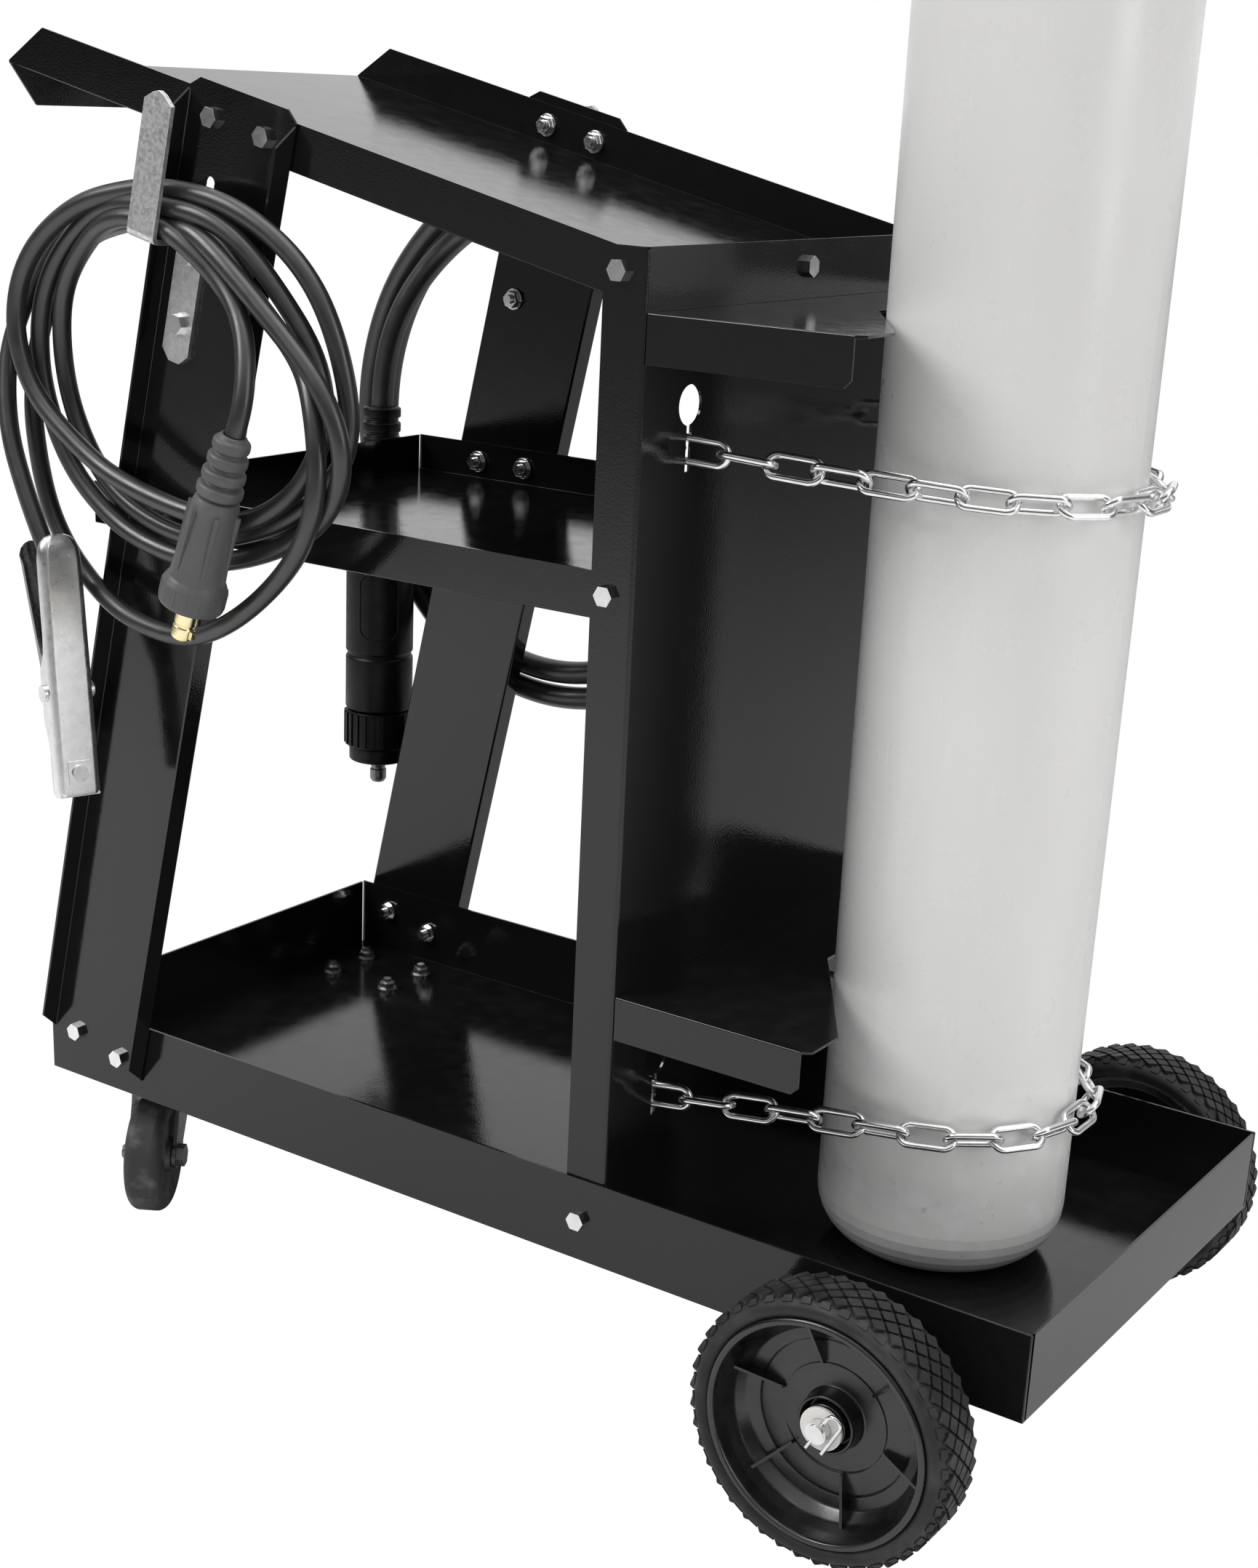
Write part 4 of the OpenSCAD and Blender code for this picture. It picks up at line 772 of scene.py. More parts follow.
@dataclass
class Studio:
    """The camera, the lamps, the world and the floor.

    Attributes:
        eye: Where the camera stands.
        right: The picture's right in the world.
        up: The picture's top in the world.
        lens: Focal length in millimetres on a 36 mm sensor.
        shift: Shift of the picture across and up.
    """

    eye: Vector = vector(0.7491, -1.131, 0.714)
    right: Vector = vector(0.82207, 0.56766, 0.04417)
    up: Vector = vector(-0.22164, 0.24759, 0.94318)
    lens: float = 53.748
    shift: Span = (0.006874, 0.0760)

    def camera(self) -> None:
        """Places the camera."""
        data = bpy.data.cameras.new("camera")
        data.lens = self.lens
        data.sensor_width = SENSOR_WIDTH
        data.shift_x, data.shift_y = self.shift
        data.clip_start = 0.05
        made = add_object("camera", data)
        right = self.right.normalized()
        back = right.cross(self.up).normalized()
        up = back.cross(right)
        made.matrix_world = Matrix.Translation(self.eye) @ Matrix((right, up, back)).transposed().to_4x4()
        bpy.context.scene.camera = made

    def lamp(self, name: str, place: Point, aim: Point, size: Span, power: float) -> None:
        """Adds a soft rectangular lamp."""
        data = bpy.data.lights.new(name, "AREA")
        data.shape = "RECTANGLE"
        data.size, data.size_y = size
        data.energy = power
        made = add_object(name, data)
        made.location = place
        made.rotation_euler = (Vector(aim) - Vector(place)).to_track_quat("-Z", "Y").to_euler()

    def world(self) -> None:
        """A white backdrop for the eye, and a softly graded room for reflections and light."""
        world = bpy.data.worlds.new("room")
        bpy.context.scene.world = world
        graph = Graph(world)
        rays = graph.add("LightPath")
        way = graph.add("TexCoord").outputs["Generated"]
        across, along, up = (graph.axis(name, way) for name in "XYZ")
        high = graph.remap(up, 0.30, 0.90)
        behind = graph.remap(along, -0.35, 0.75)
        lean = graph.plus(up, graph.times(across, 0.5))
        behind = graph.times(behind, graph.remap(lean, 0.30, 0.45, 1.0, 0.10))
        room = graph.remap(graph.most(high, behind), 0.0, 1.0, 0.03, 1.0)
        soft = graph.add("Background", Strength=0.62, Color=grey(1.0))
        seen = graph.add("Background", Strength=1.0, Color=grey(1.0))
        shine = graph.add("Background", Strength=1.0, Color=room)
        glossy = graph.most(rays.outputs["Is Glossy Ray"], rays.outputs["Is Transmission Ray"])
        lit = graph.either(glossy, soft, shine)
        graph.end("OutputWorld", graph.either(rays.outputs["Is Camera Ray"], lit, seen))

    def floor(self) -> None:
        """A wide floor as white as the backdrop to the eye, with painted shade for light and reflections."""
        shape = bmesh.new()
        bmesh.ops.create_grid(shape, x_segments=2, y_segments=2, size=30.0)
        data = mesh_of("floor", shape)
        material = bpy.data.materials.new("floor_pale")
        graph = Graph(material)
        away = graph.add("VectorMath", {"operation": "LENGTH"}, Vector=graph.place()).outputs["Value"]
        # Painted shade: the floor's colour darkens with distance and towards the far side, so that its
        # reflections darken.
        near = graph.remap(away, 1.4, 4.0, 1.0, 0.5)
        front = graph.remap(graph.axis("Y"), 0.0, 0.9, 1.0, 0.55)
        # pale is the floor's colour with this painted shade in it.
        pale = graph.mix(graph.times(near, front), grey(0.0), grey(0.84))
        matte = graph.add("BsdfDiffuse", Color=pale)
        glow = graph.add("Emission", Color=grey(1.0), Strength=1.0)
        camera = graph.add("LightPath").outputs["Is Camera Ray"]
        graph.end("OutputMaterial", graph.either(camera, matte, glow))
        data.materials.append(material)
        add_object("floor", data)

    def build(self) -> None:
        """Sets up everything round the object."""
        bpy.context.scene.view_settings.view_transform = "Standard"
        self.camera()
        self.world()
        self.floor()
        middle = (0.0, 0.0, 0.45)
        self.lamp("key", (-1.7, -1.9, 2.6), middle, (1.4, 1.4), 56.0)
        self.lamp("top", (0.2, 0.3, 3.2), middle, (2.4, 2.4), 34.0)
        self.lamp("right", (2.6, -0.3, 1.5), middle, (0.8, 2.2), 20.0)


# ---------- leads ----------

# Route of the earth lead's cord, in millimetres from NEAR_LEAD.
EARTH_ROUTE: list[Point] = [
    # up from the plug to the hook
    (80, -54, -124.5), (82.7, -54, -117), (90.1, -54, -96.2), (93.5, -52.5, -88), (92.3, -48.5, -74),
    (88, -43, -60), (80.5, -37, -45), (71, -32.5, -33.5), (60, -30.5, -24), (49, -31, -15.5),
    (38, -32.5, -8), (27, -33, -0.5), (17, -32.8, 4), (5, -32.8, 6.8), (-7, -33, 7.5),
    (-18, -33.5, 5.5),
    # first turn of the coil
    (-30, -31, 0.5), (-45, -26, -7.4), (-68.2, -21, -28.3), (-78.8, -18, -49.6), (-80.7, -16, -80),
    (-75.3, -15, -105.1), (-63.1, -16, -125.3), (-47.3, -18, -141.7), (-24.5, -20, -155.3),
    (2.9, -22, -163), (23.3, -22, -166.8), (44, -23, -164.5), (65, -23, -159), (92, -22, -149.5),
    (113, -20, -137), (130, -18, -120), (137.5, -16, -100), (136, -16, -77), (130.6, -18, -52),
    (117.4, -18, -26.4), (97.9, -19, -5.6), (75, -21.5, 9), (47.5, -24, 19), (17, -26, 22),
    (3, -26, 22), (-10, -26.5, 20.5),
    # second turn
    (-22, -28, 17.5), (-41.2, -31, 13.2), (-72.2, -32, -4.4), (-93.8, -33, -28.9),
    (-100.5, -34, -58.5), (-93.8, -35, -80.7), (-80, -36, -100.6), (-56.9, -36, -117),
    (-30.5, -36, -132.7), (3.8, -36, -143.1), (37.5, -36, -148.8), (56, -35.5, -150.5),
    (75, -34, -150), (96, -31, -141), (113, -27, -125), (123, -24, -105), (126, -22, -85),
    (118.4, -20, -61), (105.2, -20, -42.4), (88.5, -22, -23), (69.5, -24.5, -3.5), (44, -27.5, 10),
    (18.6, -30.4, 13), (3, -30.6, 13.5), (-10, -30.4, 13),
    # third turn
    (-22, -27.5, 12), (-47, -23, 4.5), (-75.4, -21, -18.3), (-88.6, -22, -40.2), (-93.5, -22, -65.1),
    (-92.4, -22, -89.7), (-82.8, -23, -113.6), (-67.2, -24, -138.5), (-46.4, -24, -156),
    (-20.9, -24, -170.3), (13.7, -24, -177.9), (40, -24, -178), (68, -24, -172), (100, -25, -160),
    (125, -27, -145), (141, -30, -127), (148, -33, -107.9), (145.7, -35, -91.4), (134.6, -35, -73),
    (117.5, -34, -56.9), (94, -34, -37.5), (68.5, -33.5, -17), (53, -32.5, -6.5), (41, -31, 0.8),
    (30, -29, 3.5), (19, -27, 4), (6, -25.8, 4.2), (-7, -25.8, 4.5), (-16, -24.5, 3.5),
    # the loop that hangs lower
    (-30, -19, 0), (-47, -12.5, -3), (-65, -8, -9), (-83, -7, -22.5), (-97, -7.5, -41),
    (-106, -8.5, -61), (-111, -10, -85), (-112.4, -12, -109), (-109, -12.5, -134),
    (-100.9, -13, -163.8), (-85, -14, -187.4), (-60.5, -18.5, -204.2), (-32.3, -24, -216.8),
    (-2.1, -28, -221.9), (29.9, -30, -222.3), (61.3, -32, -209.3), (89.7, -34.5, -189.7),
    (112.9, -37, -168.3), (127.2, -39, -148.6), (133.3, -38.5, -126.1), (132.3, -36.5, -106),
    (127, -33.5, -88), (121, -29.5, -77.5), (114, -24, -68.5), (106, -20, -61), (97, -19, -53),
    (85, -18.5, -43.5), (72, -17.5, -33), (63, -17.2, -25), (52, -16.5, -14), (40, -16, -3),
    (27, -14.5, 2), (15, -14, 4), (3, -14.5, 5), (-8, -16.8, 5.5),
    # down to the clamp
    (-18, -15, 6.5), (-32, -13.5, 8.5), (-48, -12.5, 7.5), (-66, -12.5, 2), (-85, -12, -10),
    (-100, -12, -25), (-111, -12.5, -42), (-118, -15, -58), (-121.5, -20, -75), (-117.5, -27, -97),
    (-108, -34, -124), (-93.5, -38, -150), (-79.5, -41, -172.5), (-69, -42, -189),
    (-61.5, -42.3, -206.2), (-59.9, -42.8, -221), (-57.1, -43.8, -246),
]

# Route of the torch lead's cord, in millimetres from FAR_LEAD: up from the connector to the hook.
TORCH_RISE: list[Point] = [
    (-124, 8.5, -283), (-124, 8.5, -225), (-124, 8.5, -169), (-124, 8.5, -139), (-123, 9, -113),
    (-120, 12, -90), (-113, 16, -68), (-101.5, 21.5, -47), (-86, 26, -28.5), (-66, 26.5, -13),
    (-40, 23, -1),
]
# Its coil, as the angle in degrees, the distance from the coil's middle, and the place across.
TORCH_TURNS: list[Point] = [
    (90, 155.2, 20), (75, 155.5, 20), (60, 156, 20.5), (45, 156, 22), (30, 157, 24), (10, 158, 26),
    (-10, 158, 27), (-30, 158, 28), (-50, 158.5, 29), (-70, 159.5, 30), (-90, 160, 31),
    (-110, 160.5, 34), (-130, 161, 39), (-150, 162, 42.5), (-170, 163, 44), (170, 164, 44),
    (150, 165, 42.5), (130, 165.5, 38.5), (112, 165, 34.5), (98, 165, 32.6), (90, 165.3, 32.4),
    (75, 166, 32.8), (60, 167, 33), (45, 168.5, 33.5), (30, 170, 34), (10, 172, 34), (-10, 174, 34),
    (-30, 176, 33), (-50, 177.5, 32), (-70, 178, 31.5), (-90, 178, 32), (-110, 178, 34.5),
    (-130, 178, 39.5), (-150, 178.5, 43), (-170, 179.5, 44), (170, 180, 43.5), (150, 180, 41),
    (130, 179, 36.5), (115, 176.5, 29), (103, 173.5, 23), (92, 171.5, 20), (75, 171, 20),
    (60, 170.5, 20), (50, 171, 17),
]
# Down to the torch.
TORCH_FALL: list[Point] = [
    (137, 15.8, -31), (152, 15.5, -46), (170, 15.5, -59), (189, 15.5, -71), (206, 15.5, -85),
    (218, 15.5, -99), (225, 15.5, -115), (227.4, 15.5, -131.1), (223.8, 15.5, -156.8),
]


@dataclass
class Lead:
    """What both leads share.

    Attributes:
        maker: Makes the pieces.
        diameter: Thickness of the cord in metres.
    """

    maker: Maker
    diameter: float

    def lay(self, name: str, path: Sequence[Vector], nodes: Sequence[str], ends: Callable[[], list],
            carried: Sequence[str], stiffness: str) -> None:
        """Args:
            name: Name of the cord.
            path: Its middle line in metres.
            nodes: CAD nodes that it stands for.
            ends: Makes the pieces at its ends.
            carried: Not used.
            stiffness: Not used.
        """
        cord = tube_curve(name, path, self.diameter, CABLE_RUBBER)
        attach(cord, ROOT)
        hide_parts(*nodes)
        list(ends())


@dataclass
class EarthLead(Lead):
    """Earth lead on the near side: its cord, the bayonet plug and the clamp.

    Attributes:
        plug_at: End of the plug's pin, in millimetres from the lead's frame.
        plug_lean: Lean of the plug in degrees.
        clamp_at: Pivot of the clamp.
        clamp_turn: Its turn about the vertical in degrees.
        clamp_lean: Its lean in degrees.
    """

    diameter: float = 0.011
    plug_at: Vector = vector(48.0, -54.0, -215.0)
    plug_lean: float = 19.5
    clamp_at: Vector = vector(-56.5, -44.0, -266.0)
    clamp_turn: float = -19.0
    clamp_lean: float = -6.7

    def plug(self) -> list[bpy.types.Object]:
        """The rubber sleeve with its ribbed relief, and the brass pin."""
        place = turned_to(NEAR_LEAD + self.plug_at * MM, ("Y", self.plug_lean))
        profile = [(6.2, 20.0), (14.8, 20.0), (17.9, 21.6), (18.5, 23.6), (18.5, 33.4), (16.6, 37.2),
                   (15.7, 38.4), (15.5, 41.0), (14.2, 62.0), (13.0, 83.0), (11.9, 86.2), (9.7, 87.0)]
        for i in range(4):
            low, ring, valley = 87.4 + 8.8 * i, 12.9 - 0.85 * i, 9.5 - 0.5 * i
            profile += [(valley, low), (ring - 0.5, low + 1.2), (ring, low + 2.4), (ring, low + 5.6),
                        (ring - 0.7, low + 6.9), (valley, low + 7.7)]
        profile += [(7.4, 123.2), (5.7, 123.6), (5.4, 118.0)]
        shapes = [lathe(rounded(profile, 0.9), 72)]
        shapes += ring_of(lambda: bevelled(prism(wedge(-1.5, 1.3, 1.1, 1.0), 44.0, 80.0), 0.5), 6, 14.5, 20.0)
        shapes += ring_of(lambda: bevelled(prism(wedge(-2.0, 4.6, 0.7, 3.4), 24.0, 33.6), 0.6), 8, 17.7)
        sleeve = self.maker.piece("earth_plug_cover", shapes, PLUG_RUBBER, "earth_plug_sleeve", place)
        pin_profile = rounded([(0, 0), (5.3, 0), (6.4, 1.3), (6.5, 2.4), (6.5, 7.8), (6.0, 8.2), (6.0, 9.6),
                               (6.5, 10.0), (6.5, 21.0)], 0.3)
        key = moved(bevelled(prism(wedge(-2.0, 1.6, 1.6, 1.6), 2.6, 7.2), 0.4),
                    Matrix.Translation((6.3 * MM, 0, 0)))
        pin = self.maker.piece("earth_plug_contact", [lathe(pin_profile, 48), key], PIN_BRASS,
                               "earth_plug_pin", place)
        return [sleeve, pin]

    def jaw(self, inset: float, bend: float, mirrored: bool) -> Mesh:
        """One jaw and its handle, pressed from one sheet into a channel with round corners.

        Args:
            inset: How much narrower than the front jaw it is on each side, in millimetres.
            bend: How far the handle is bent outwards, in degrees.
            mirrored: Whether it faces the other way.

        Returns:
            The mesh, in the frame of the clamp's pivot.
        """
        full, deep = (13.5, 9.0), 9.0
        stations = [
            (-62.0, 12.6, 7.6, 1.5), (-61.2, 13.3, 8.6, 1.2), (-59.0, *full, 1.0), (-40.0, *full, 1.0),
            (-30.0, *full, -0.5), (-17.0, *full, -4.8), (0.0, *full, -5.0), (13.0, *full, -4.8),
            (24.0, 13.4, deep, 1.2), (34.0, 13.3, deep, 2.2), (60.0, 13.2, deep, 2.2),
            (78.0, 13.0, deep, 2.2), (84.0, 12.3, 8.8, 2.4), (88.0, 10.6, 8.0, 2.8), (90.6, 8.0, 6.8, 3.2),
            (92.0, 4.6, 5.4, 3.4)]
        thick, corner, arc_steps = 1.6, 4.6, 5
        handle_end, flat_edge, bend_over = 80.0, 7.0, 10.0
        shape = bmesh.new()
        rings = []
        for height, half, face, edge in stations:
            half -= inset
            if mirrored and height > handle_end:
                # The back handle's end stays flat, so that it clears the cable when it is squeezed.
                face, edge = deep, flat_edge
            outline: list[Span] = []
            for gap in (0.0, thick):
                h, f = max(half - gap, 0.6), max(face - gap, edge + 0.2)
                r = min(corner - gap, h, f - edge)
                arc = [(f - r + r * math.sin(a), h - r + r * math.cos(a))
                       for a in (math.pi / 2 * i / arc_steps for i in range(arc_steps + 1))]
                wall = [(edge, h), *arc, *[(x, -y) for x, y in reversed(arc)], (edge, -h)]
                outline += wall if gap == 0.0 else wall[::-1]
            share = min(max(height / bend_over, 0.0), 1.0)
            bent = rotation("Y", bend * share * share * (3 - 2 * share))
            flip = -1.0 if mirrored else 1.0
            ring = [bent @ Vector((x, y, height)) for x, y in outline]
            rings.append([shape.verts.new((flip * p.x * MM, p.y * MM, p.z * MM)) for p in ring])
        skin(shape, zip(rings, rings[1:]))
        count = len(rings[0])
        for ring in (rings[0], rings[-1]):
            for k in range(count // 2 - 1):
                shape.faces.new((ring[k], ring[k + 1], ring[count - 2 - k], ring[count - 1 - k]))
        return shape

    def clamp(self) -> list[bpy.types.Object]:
        """The stamped jaws, and the raised square round the front jaw's rivet."""
        place = turned_to(NEAR_LEAD + self.clamp_at * MM, ("Z", self.clamp_turn), ("Y", self.clamp_lean))
        square = moved(bevelled(prism(wedge(-7.0, 7.0, 7.0, 7.0), -0.8, 0.7), 0.6, 3),
                       turned_to(Vector((9.0, 0.0, -47.5)) * MM, ("Y", 90.0)))
        lip = bevelled(prism(wedge(1.2, 12.4, 8.0, 12.4), -61.9, -60.3), 0.5)
        front = [self.jaw(0.0, 0.0, False), square, lip]
        back = [self.jaw(2.3, 16.0, True)]
        # The back jaw's darker steel is painted shade.
        pieces = [self.maker.piece("clamp_front_stamped", front, CLAMP_STEEL, "clamp_front_jaw", place, 40.0),
                  self.maker.piece("clamp_back_stamped", back, CLAMP_PAINTED_SHADE, "clamp_back_jaw", place, 40.0)]
        for made in pieces:
            even_normals(made)
        return pieces

    def build(self) -> None:
        """Makes the lead."""
        self.lay("earth_cord", smooth_path(EARTH_ROUTE, NEAR_LEAD),
                 ("earth_cable_coil", "earth_cable_loop", "earth_plug_tail", "earth_clamp_tail"),
                 lambda: self.plug() + self.clamp(), ("clamp_pivot", "clamp_spring", "clamp_contacts"),
                 "medium")


@dataclass
class TorchLead(Lead):
    """Torch lead on the far side: its cord, the central connector and the torch.

    Attributes:
        conn_at: End of the connector's pin, in millimetres from the lead's frame.
        coil_at: Middle of the coil.
    """

    diameter: float = 0.016
    conn_at: Vector = vector(-124.0, 8.5, -413.0)
    coil_at: Span = (14.0, -149.0)

    def route(self) -> list[Point]:
        """Route points from the connector, twice round the hook, to the torch."""
        x, z = self.coil_at
        coil = [(x + r * math.cos(math.radians(a)), y, z + r * math.sin(math.radians(a)))
                for a, r, y in TORCH_TURNS]
        return TORCH_RISE + coil + TORCH_FALL

    def outline(self, radius: float, facing: float, half: float, ends: Span,
                corner: float) -> list[Vector]:
        """A rectangle with round corners, laid round the connector's body.

        Args:
            radius: Radius of the body in millimetres.
            facing: Middle of the rectangle round the body, in degrees.
            half: Half of its width, in degrees.
            ends: Its lower and upper end.
            corner: Radius of its corners.

        Returns:
            The points of the outline.
        """
        wide, quarter_steps, step = radius * math.radians(half), 6, 3.0
        middle, tall = (ends[0] + ends[1]) / 2, (ends[1] - ends[0]) / 2
        flat = []
        for sx, sz, start in ((1, 1, 0), (-1, 1, 90), (-1, -1, 180), (1, -1, 270)):
            for i in range(quarter_steps + 1):
                a = math.radians(start + 90 * i / quarter_steps)
                flat.append((sx * (wide - corner) + corner * math.cos(a),
                             sz * (tall - corner) + corner * math.sin(a)))
        dense = []
        for (x0, z0), (x1, z1) in zip(flat, flat[1:] + flat[:1]):
            count = max(1, round(math.hypot(x1 - x0, z1 - z0) / step))
            dense += [(x0 + (x1 - x0) * i / count, z0 + (z1 - z0) * i / count) for i in range(count)]
        turned = [(math.radians(facing) + x / radius, middle + z) for x, z in dense]
        return [Vector((radius * math.cos(a), radius * math.sin(a), z)) for a, z in turned]

    def connector(self) -> list[bpy.types.Object]:
        """The connector's body with its grooved relief, the knurled nut and the pin."""
        place = Matrix.Translation(FAR_LEAD + self.conn_at * MM)
        profile = [(5.8, 17.6), (20.6, 17.6), (21.5, 18.6), (21.5, 28.4), (19.6, 28.9), (19.6, 56.4),
                   (22.6, 56.8), (24.5, 58.4), (24.5, 96.0), (23.2, 97.4), (23.2, 99.4), (24.5, 100.8),
                   (24.5, 168.0), (23.6, 169.4), (23.6, 171.4), (24.5, 172.8), (24.5, 213.0), (23.4, 217.0),
                   (19.4, 233.0), (14.2, 245.0)]
        for i in range(3):
            low = 246.0 + i * 10.2
            profile += [(11.6, low), (11.6, low + 2.4), (13.4, low + 3.0), (13.4, low + 9.2)]
        profile += [(11.0, 276.6), (8.3, 276.6), (8.2, 268.0)]
        shapes = [lathe(rounded(profile, 0.8), 80)]
        for facing in (-52.0, 128.0):
            shapes.append(wire(self.outline(24.4, facing, 34.0, (112.0, 160.0), 9.0), 0.7, True))
        body = self.maker.piece("connector_shell", shapes, CONN_PLASTIC, "connector_body", place)
        ring = rounded([(20.2, 29.1), (24.0, 29.1), (24.4, 30.0), (24.4, 55.0), (24.0, 56.1), (20.2, 56.1)],
                       0.5)
        ribs = ring_of(lambda: bevelled(prism(wedge(-1.4, 1.7, 1.0, 1.3), 30.6, 54.6), 0.5), 24, 24.5)
        nut = self.maker.piece("connector_ring_knurled", [lathe(ring, 96), *ribs], CONN_PLASTIC,
                               "connector_nut", place)
        pin_profile = rounded([(0, 0), (4.4, 0), (5.8, 2.0), (6.0, 3.0), (6.0, 9.6), (5.2, 10.0), (5.2, 12.0),
                               (6.0, 12.4), (6.0, 18.6)], 0.3)
        pin = self.maker.piece("connector_probe", [lathe(pin_profile, 40)], CASTER_STEEL, "connector_pin",
                               place)
        return [body, nut, pin]

    def build(self) -> None:
        """Makes the lead."""
        self.lay("torch_cord", smooth_path(self.route(), FAR_LEAD, 6.0),
                 ("torch_cable_coil", "torch_connector_tail", "torch_handle_tail"), self.connector,
                 ("torch_handle", "torch_trigger", "torch_neck", "torch_nozzle", "torch_tip"), "stiff")


# ---------- sheet metal ----------


def face_width(face: bmesh.types.BMFace) -> float:
    """Rough width of a face: twice its area by its outline."""
    return 2 * face.calc_area() / max(face.calc_perimeter(), 1e-9)


def fold_edges(shape: Mesh, outer: float, inner: float, plate: float = 3.2,
               shortest: float = 6.0) -> Mesh:
    """Gives the folds of a sheet their bend radius and leaves its cut edges.

    Args:
        shape: The sheet.
        outer: Radius on the outside of a fold, in millimetres.
        inner: Radius on the inside of a fold, in millimetres.
        plate: Faces narrower than this are cut edges, in millimetres.
        shortest: Shorter edges aren't folds, in millimetres.

    Returns:
        The same mesh.
    """
    shape.normal_update()
    for convex, radius in ((True, outer), (False, inner)):
        folds = []
        for edge in shape.edges:
            if len(edge.link_faces) != 2 or edge.calc_length() < shortest * MM:
                continue
            if edge.calc_face_angle(0.0) < FOLD_ANGLE or edge.is_convex != convex:
                continue
            if all(face_width(face) > plate * MM for face in edge.link_faces):
                folds.append(edge)
        if folds:
            round_edges(shape, folds, radius, 4)
    return shape


@dataclass
class SheetFrame:
    """The folded sheets, the hooks and the brackets of the frame.

    Attributes:
        radius: Outer and inner bend radius of the sheets in millimetres.
        edge: Width of the coat's rounding on cut edges in metres.
        bar_edge: The same on the hooks' bars.
    """

    maker: Maker
    radius: Span = (2.2, 0.8)
    edge: float = 0.00035
    bar_edge: float = 0.0006

    def sheets(self) -> None:
        """Trays, shelf, panel, legs, brackets and saddles."""
        for node in ("bottom_tray", "middle_shelf", "top_tray", "rear_panel", "near_leg", "far_leg",
                     "upper_cylinder_bracket", "lower_cylinder_bracket", "axle_brackets"):
            finish = COAT_CLEAN if node == "rear_panel" else COAT
            sheet = fold_edges(self.maker.copy_of(node), *self.radius)
            blunt(self.maker.piece(node + "_sheet", [sheet], finish, node), self.edge)

    def hooks(self) -> None:
        """Flat bars bent into a J."""
        for side in Side:
            node = side.word + "_cable_hook"
            bar = fold_edges(self.maker.copy_of(node), 4.2, 1.4, plate=3.4)
            blunt(self.maker.piece(node + "_bar", [bar], HOOK_ZINC, node), self.bar_edge, 3)

    def build(self) -> None:
        """Makes all of it."""
        self.sheets()
        self.hooks()


# ---------- running gear ----------


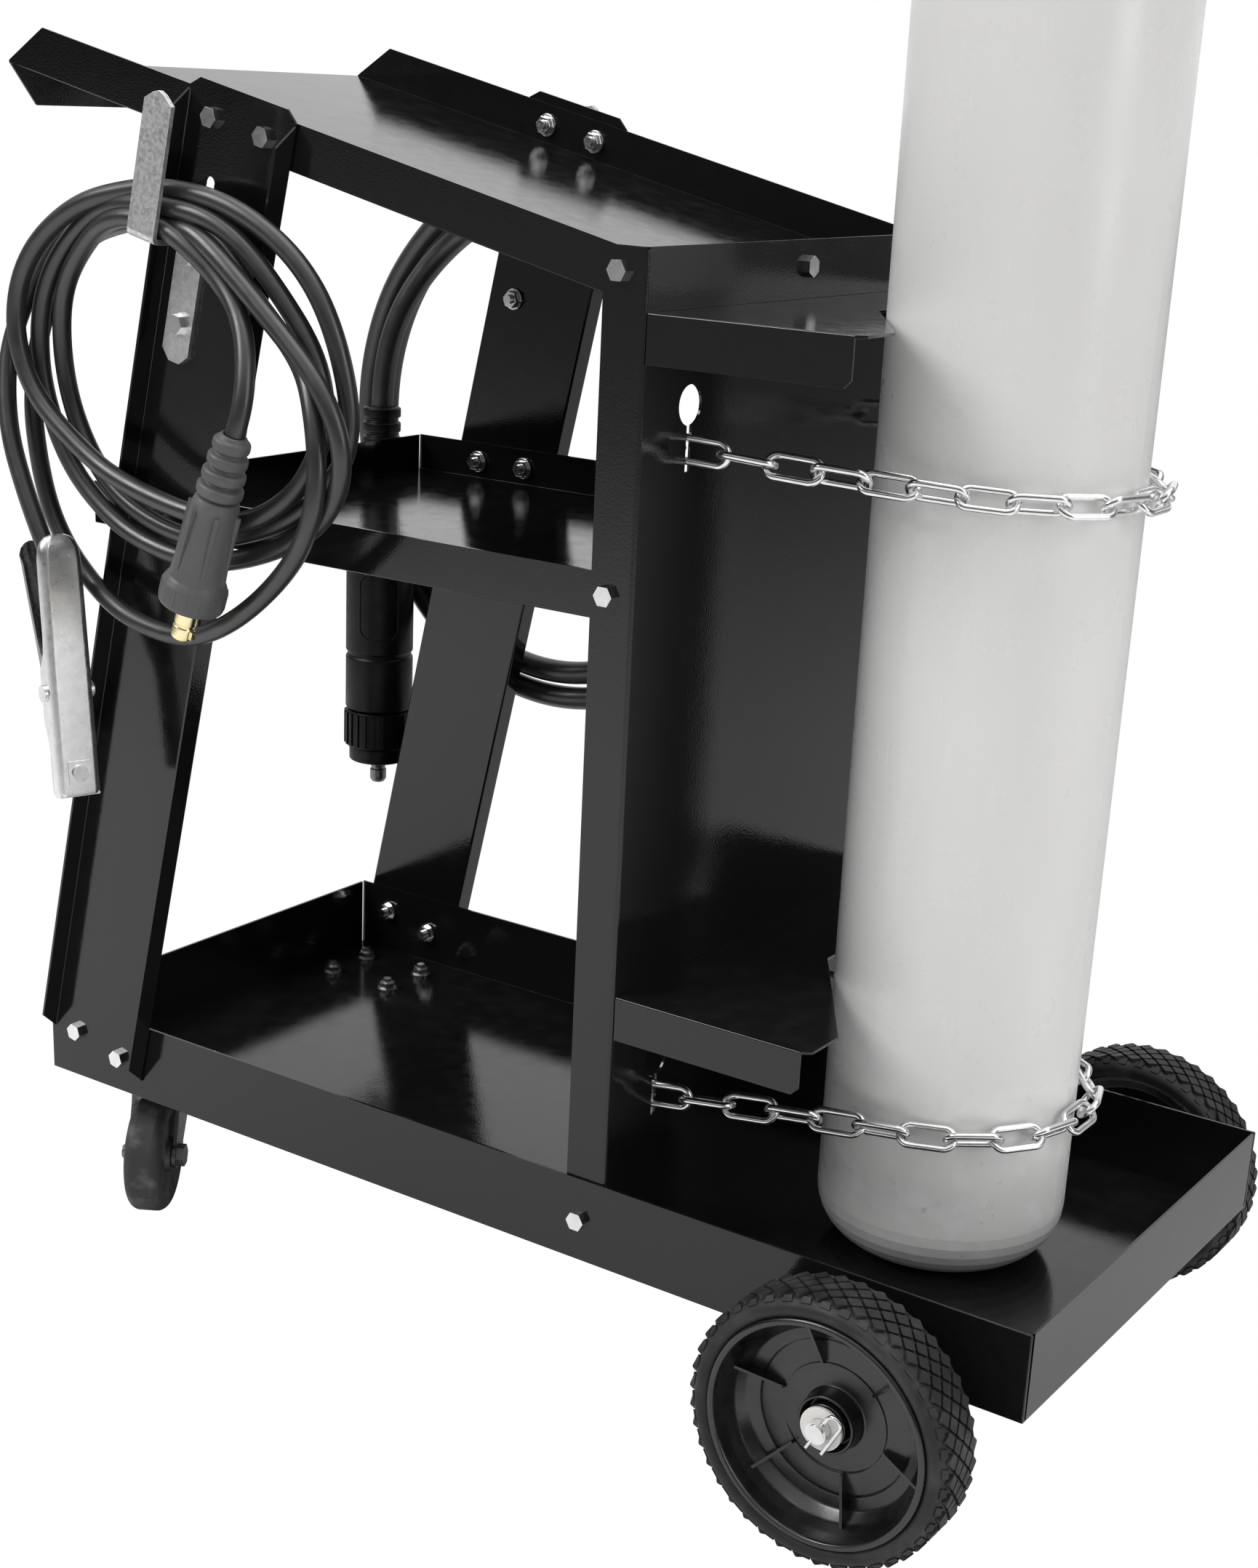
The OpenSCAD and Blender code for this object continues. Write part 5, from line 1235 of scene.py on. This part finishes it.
@dataclass
class RunningGear:
    """Rear wheels with their tread, and the washers that hold them.

    Attributes:
        tyre_r: Outer radius of the tyre in millimetres.
        tyre_w: Width of the tyre.
        rim_r: Radius of the tyre's seat.
        axle: The axle's place on the near side, at the tyre's inner face, in metres.
        blocks: Number of tread blocks in a row.
        row_gap: Distance between rows of blocks in millimetres.
        groove: Depth of the grooves between the blocks.
        hub_out: Distance of the hubs' outer ends from the middle, in metres.
    """

    maker: Maker
    tyre_r: float = 76.0
    tyre_w: float = 37.0
    rim_r: float = 63.5
    axle: Vector = vector(0.270024, 0.179, 0.076)
    blocks: int = 42
    row_gap: float = 5.3
    groove: float = 1.9
    hub_out: float = 0.200

    def frame_of(self, side: Side) -> Matrix:
        """Frame of a wheel: z outwards from the tyre's inner face."""
        place = Matrix.Translation((self.axle.x, side.value * self.axle.y, self.axle.z))
        return place @ rotation("X", -90.0 * side.value)

    def tyre(self, side: Side) -> None:
        """The tyre: a rounded carcass with rows of lozenge blocks and small bars on its shoulders."""
        w, r, seat = self.tyre_w, self.tyre_r - self.groove, self.rim_r
        carcass = [(seat, 1.6), (seat + 2.4, 0.6), (r - 5.5, 0.3), (r - 3.6, 1.2), (r - 1.2, 3.8), (r, 7.5),
                   (r, w - 7.5), (r - 1.2, w - 3.8), (r - 3.6, w - 1.2), (r - 5.5, w - 0.3),
                   (seat + 2.6, w - 0.4), (seat + 0.8, w - 1.6), (seat, w - 2.4)]
        shapes = [lathe(rounded(carcass, 1.2), 144)]
        pitch = 2 * math.pi * self.tyre_r / self.blocks
        wide, slim, step = 0.37 * pitch, 0.05 * pitch, 360 / self.blocks
        diamond = [(-wide, -0.4), (-slim, -3.6), (slim, -3.6), (wide, -0.4),
                   (wide, 0.4), (slim, 3.6), (-slim, 3.6), (-wide, 0.4)]
        for row in range(-2, 3):
            for k in range(self.blocks):
                shapes.append(self.block(diamond, w / 2 + self.row_gap * row, (k + 0.5 * (row % 2)) * step,
                                         self.tyre_r - 0.2))
        bar = [(-0.20 * pitch, -1.8), (0.20 * pitch, -1.8), (0.26 * pitch, 1.8), (-0.26 * pitch, 1.8)]
        for middle, lean in ((3.4, 40.0), (w - 3.4, -40.0)):
            for k in range(self.blocks):
                shapes.append(self.block(bar, middle, (k + 0.5) * step, self.tyre_r - 2.6, lean))
        self.maker.piece(side.word + "_tyre_tread", shapes, TYRE_RUBBER, side.word + "_wheel_tyre",
                         self.frame_of(side))

    def block(self, outline: Sequence[Point], middle: float, angle: float, top: float,
              lean: float = 0.0) -> Mesh:
        """One tread block, given round the tyre and across it."""
        shape = bevelled(prism(outline, -2.6, 0.0), 0.45, 1)
        place = rotation("Z", angle) @ Matrix.Translation((top * MM, 0, middle * MM)) @ rotation("Y", lean)
        return moved(shape, place @ rotation("Y", 90.0) @ rotation("Z", 90.0))

    def rim(self, side: Side) -> None:
        """The moulded rim: a dished plate, six thin ribs and a hub."""
        w, seat, lip, bore = self.tyre_w, self.rim_r, self.rim_r - 3.6, 6.06
        section = [(bore, -3), (14.5, -3), (14.5, 10), (lip - 6, 10), (lip, 5), (seat, 3), (seat, w - 1.2),
                   (seat - 1.2, w), (lip, w), (lip - 0.8, w - 1.6), (lip - 2.0, w - 8), (lip - 4.5, 22),
                   (lip - 9.0, 16), (lip - 15.5, 13.5), (lip - 17.0, 14.1), (31, 14.0), (29.8, 13.1),
                   (17.0, 13.1), (16.4, 22.6), (15.9, 23.6), (14.8, 23.6), (14.3, 22.6), (14.2, 16.0),
                   (12.4, 15.4), (12.1, 24.5), (bore, 24.5)]
        shapes = [lathe(rounded(section + section[:1], 1.3, 4), 128)]
        rib = [(30.0, 13.4), (lip - 9, 13.6), (lip - 2.6, 20.0), (lip - 1.9, 25.5), (31, 16.6)]
        for angle in range(45, 360, 60):
            plate = bevelled(prism(rib, -0.8, 0.8), 0.4)
            shapes.append(moved(plate, rotation("Z", angle) @ rotation("X", 90.0)))
        self.maker.piece(side.word + "_rim_moulded", shapes, RIM_PLASTIC, side.word + "_wheel_rim",
                         self.frame_of(side))

    def washers(self) -> None:
        """Washers and spacers; the outer washers are nylon."""
        shape = self.maker.copy_of("axle_washers")
        for face in shape.faces:
            face.material_index = int(abs(face.calc_center_median().y) > self.hub_out)
        made = self.maker.piece("axle_washer_set", [shape], BOLT_ZINC, "axle_washers")
        made.data.materials.append(NYLON.material())
        blunt(made, 0.0003)

    def build(self) -> None:
        """Makes both wheels and their washers."""
        for side in Side:
            self.rim(side)
            self.tyre(side)
        self.washers()


# ---------- chains ----------


@dataclass
class Chains:
    """The two retaining chains, with a round wire.

    Attributes:
        swell: How much the zinc coat and the rounding add to the wire's radius, in metres.
    """

    maker: Maker
    swell: float = 0.00022

    def build(self) -> None:
        """Makes both chains."""
        for node in ("upper_chain", "lower_chain"):
            shape = self.maker.copy_of(node, whole=False)
            bmesh.ops.recalc_face_normals(shape, faces=shape.faces)
            shape.normal_update()
            for vert, normal in [(vert, vert.normal.copy()) for vert in shape.verts]:
                vert.co += normal * self.swell
            self.maker.piece(node + "_links", [shape], CHAIN_ZINC, node, angle=75.0)


# ---------- carried-over nodes ----------


@dataclass
class CarriedNodes:
    """CAD nodes whose shape is right: they get a finish and blunt edges.

    Attributes:
        widths: Width of the blunt edges by node, in metres; 0 leaves a node's edges sharp.
        usual: Width for the nodes that aren't named.
    """

    maker: Maker
    usual: float = 0.0003
    widths: dict[str, float] = field(default_factory=lambda: {
        "clamp_spring": 0.0, "gas_cylinder": 0.0, "hairpin_clips": 0.0, "near_caster_wheel": 0.0,
        "far_caster_wheel": 0.0, "torch_neck": 0.0, "frame_bolts": 0.00045, "torch_handle": 0.0008,
        "torch_trigger": 0.0008})

    def build(self) -> None:
        """Dresses every CAD node that still shows."""
        for name, node in self.maker.frame["nodes"].items():
            if node.hide_render:
                continue
            finish = SLOT_FINISHES[self.maker.slot_of(name)]
            node.data.materials.clear()
            node.data.materials.append(finish.material())
            width = self.widths.get(name, self.usual)
            if width:
                blunt(node, width)
            log.info("finish %s on %s", finish.name, name)


def main() -> None:
    """Builds the scene in order."""
    logging.basicConfig(level=logging.INFO, format="%(name)s: %(message)s")
    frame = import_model()
    maker = Maker(frame)
    Studio().build()
    for part in (EarthLead, TorchLead, SheetFrame, RunningGear, Chains, CarriedNodes):
        log.info("building %s", part.__name__)
        part(maker).build()


if __name__ == "__main__":
    main()
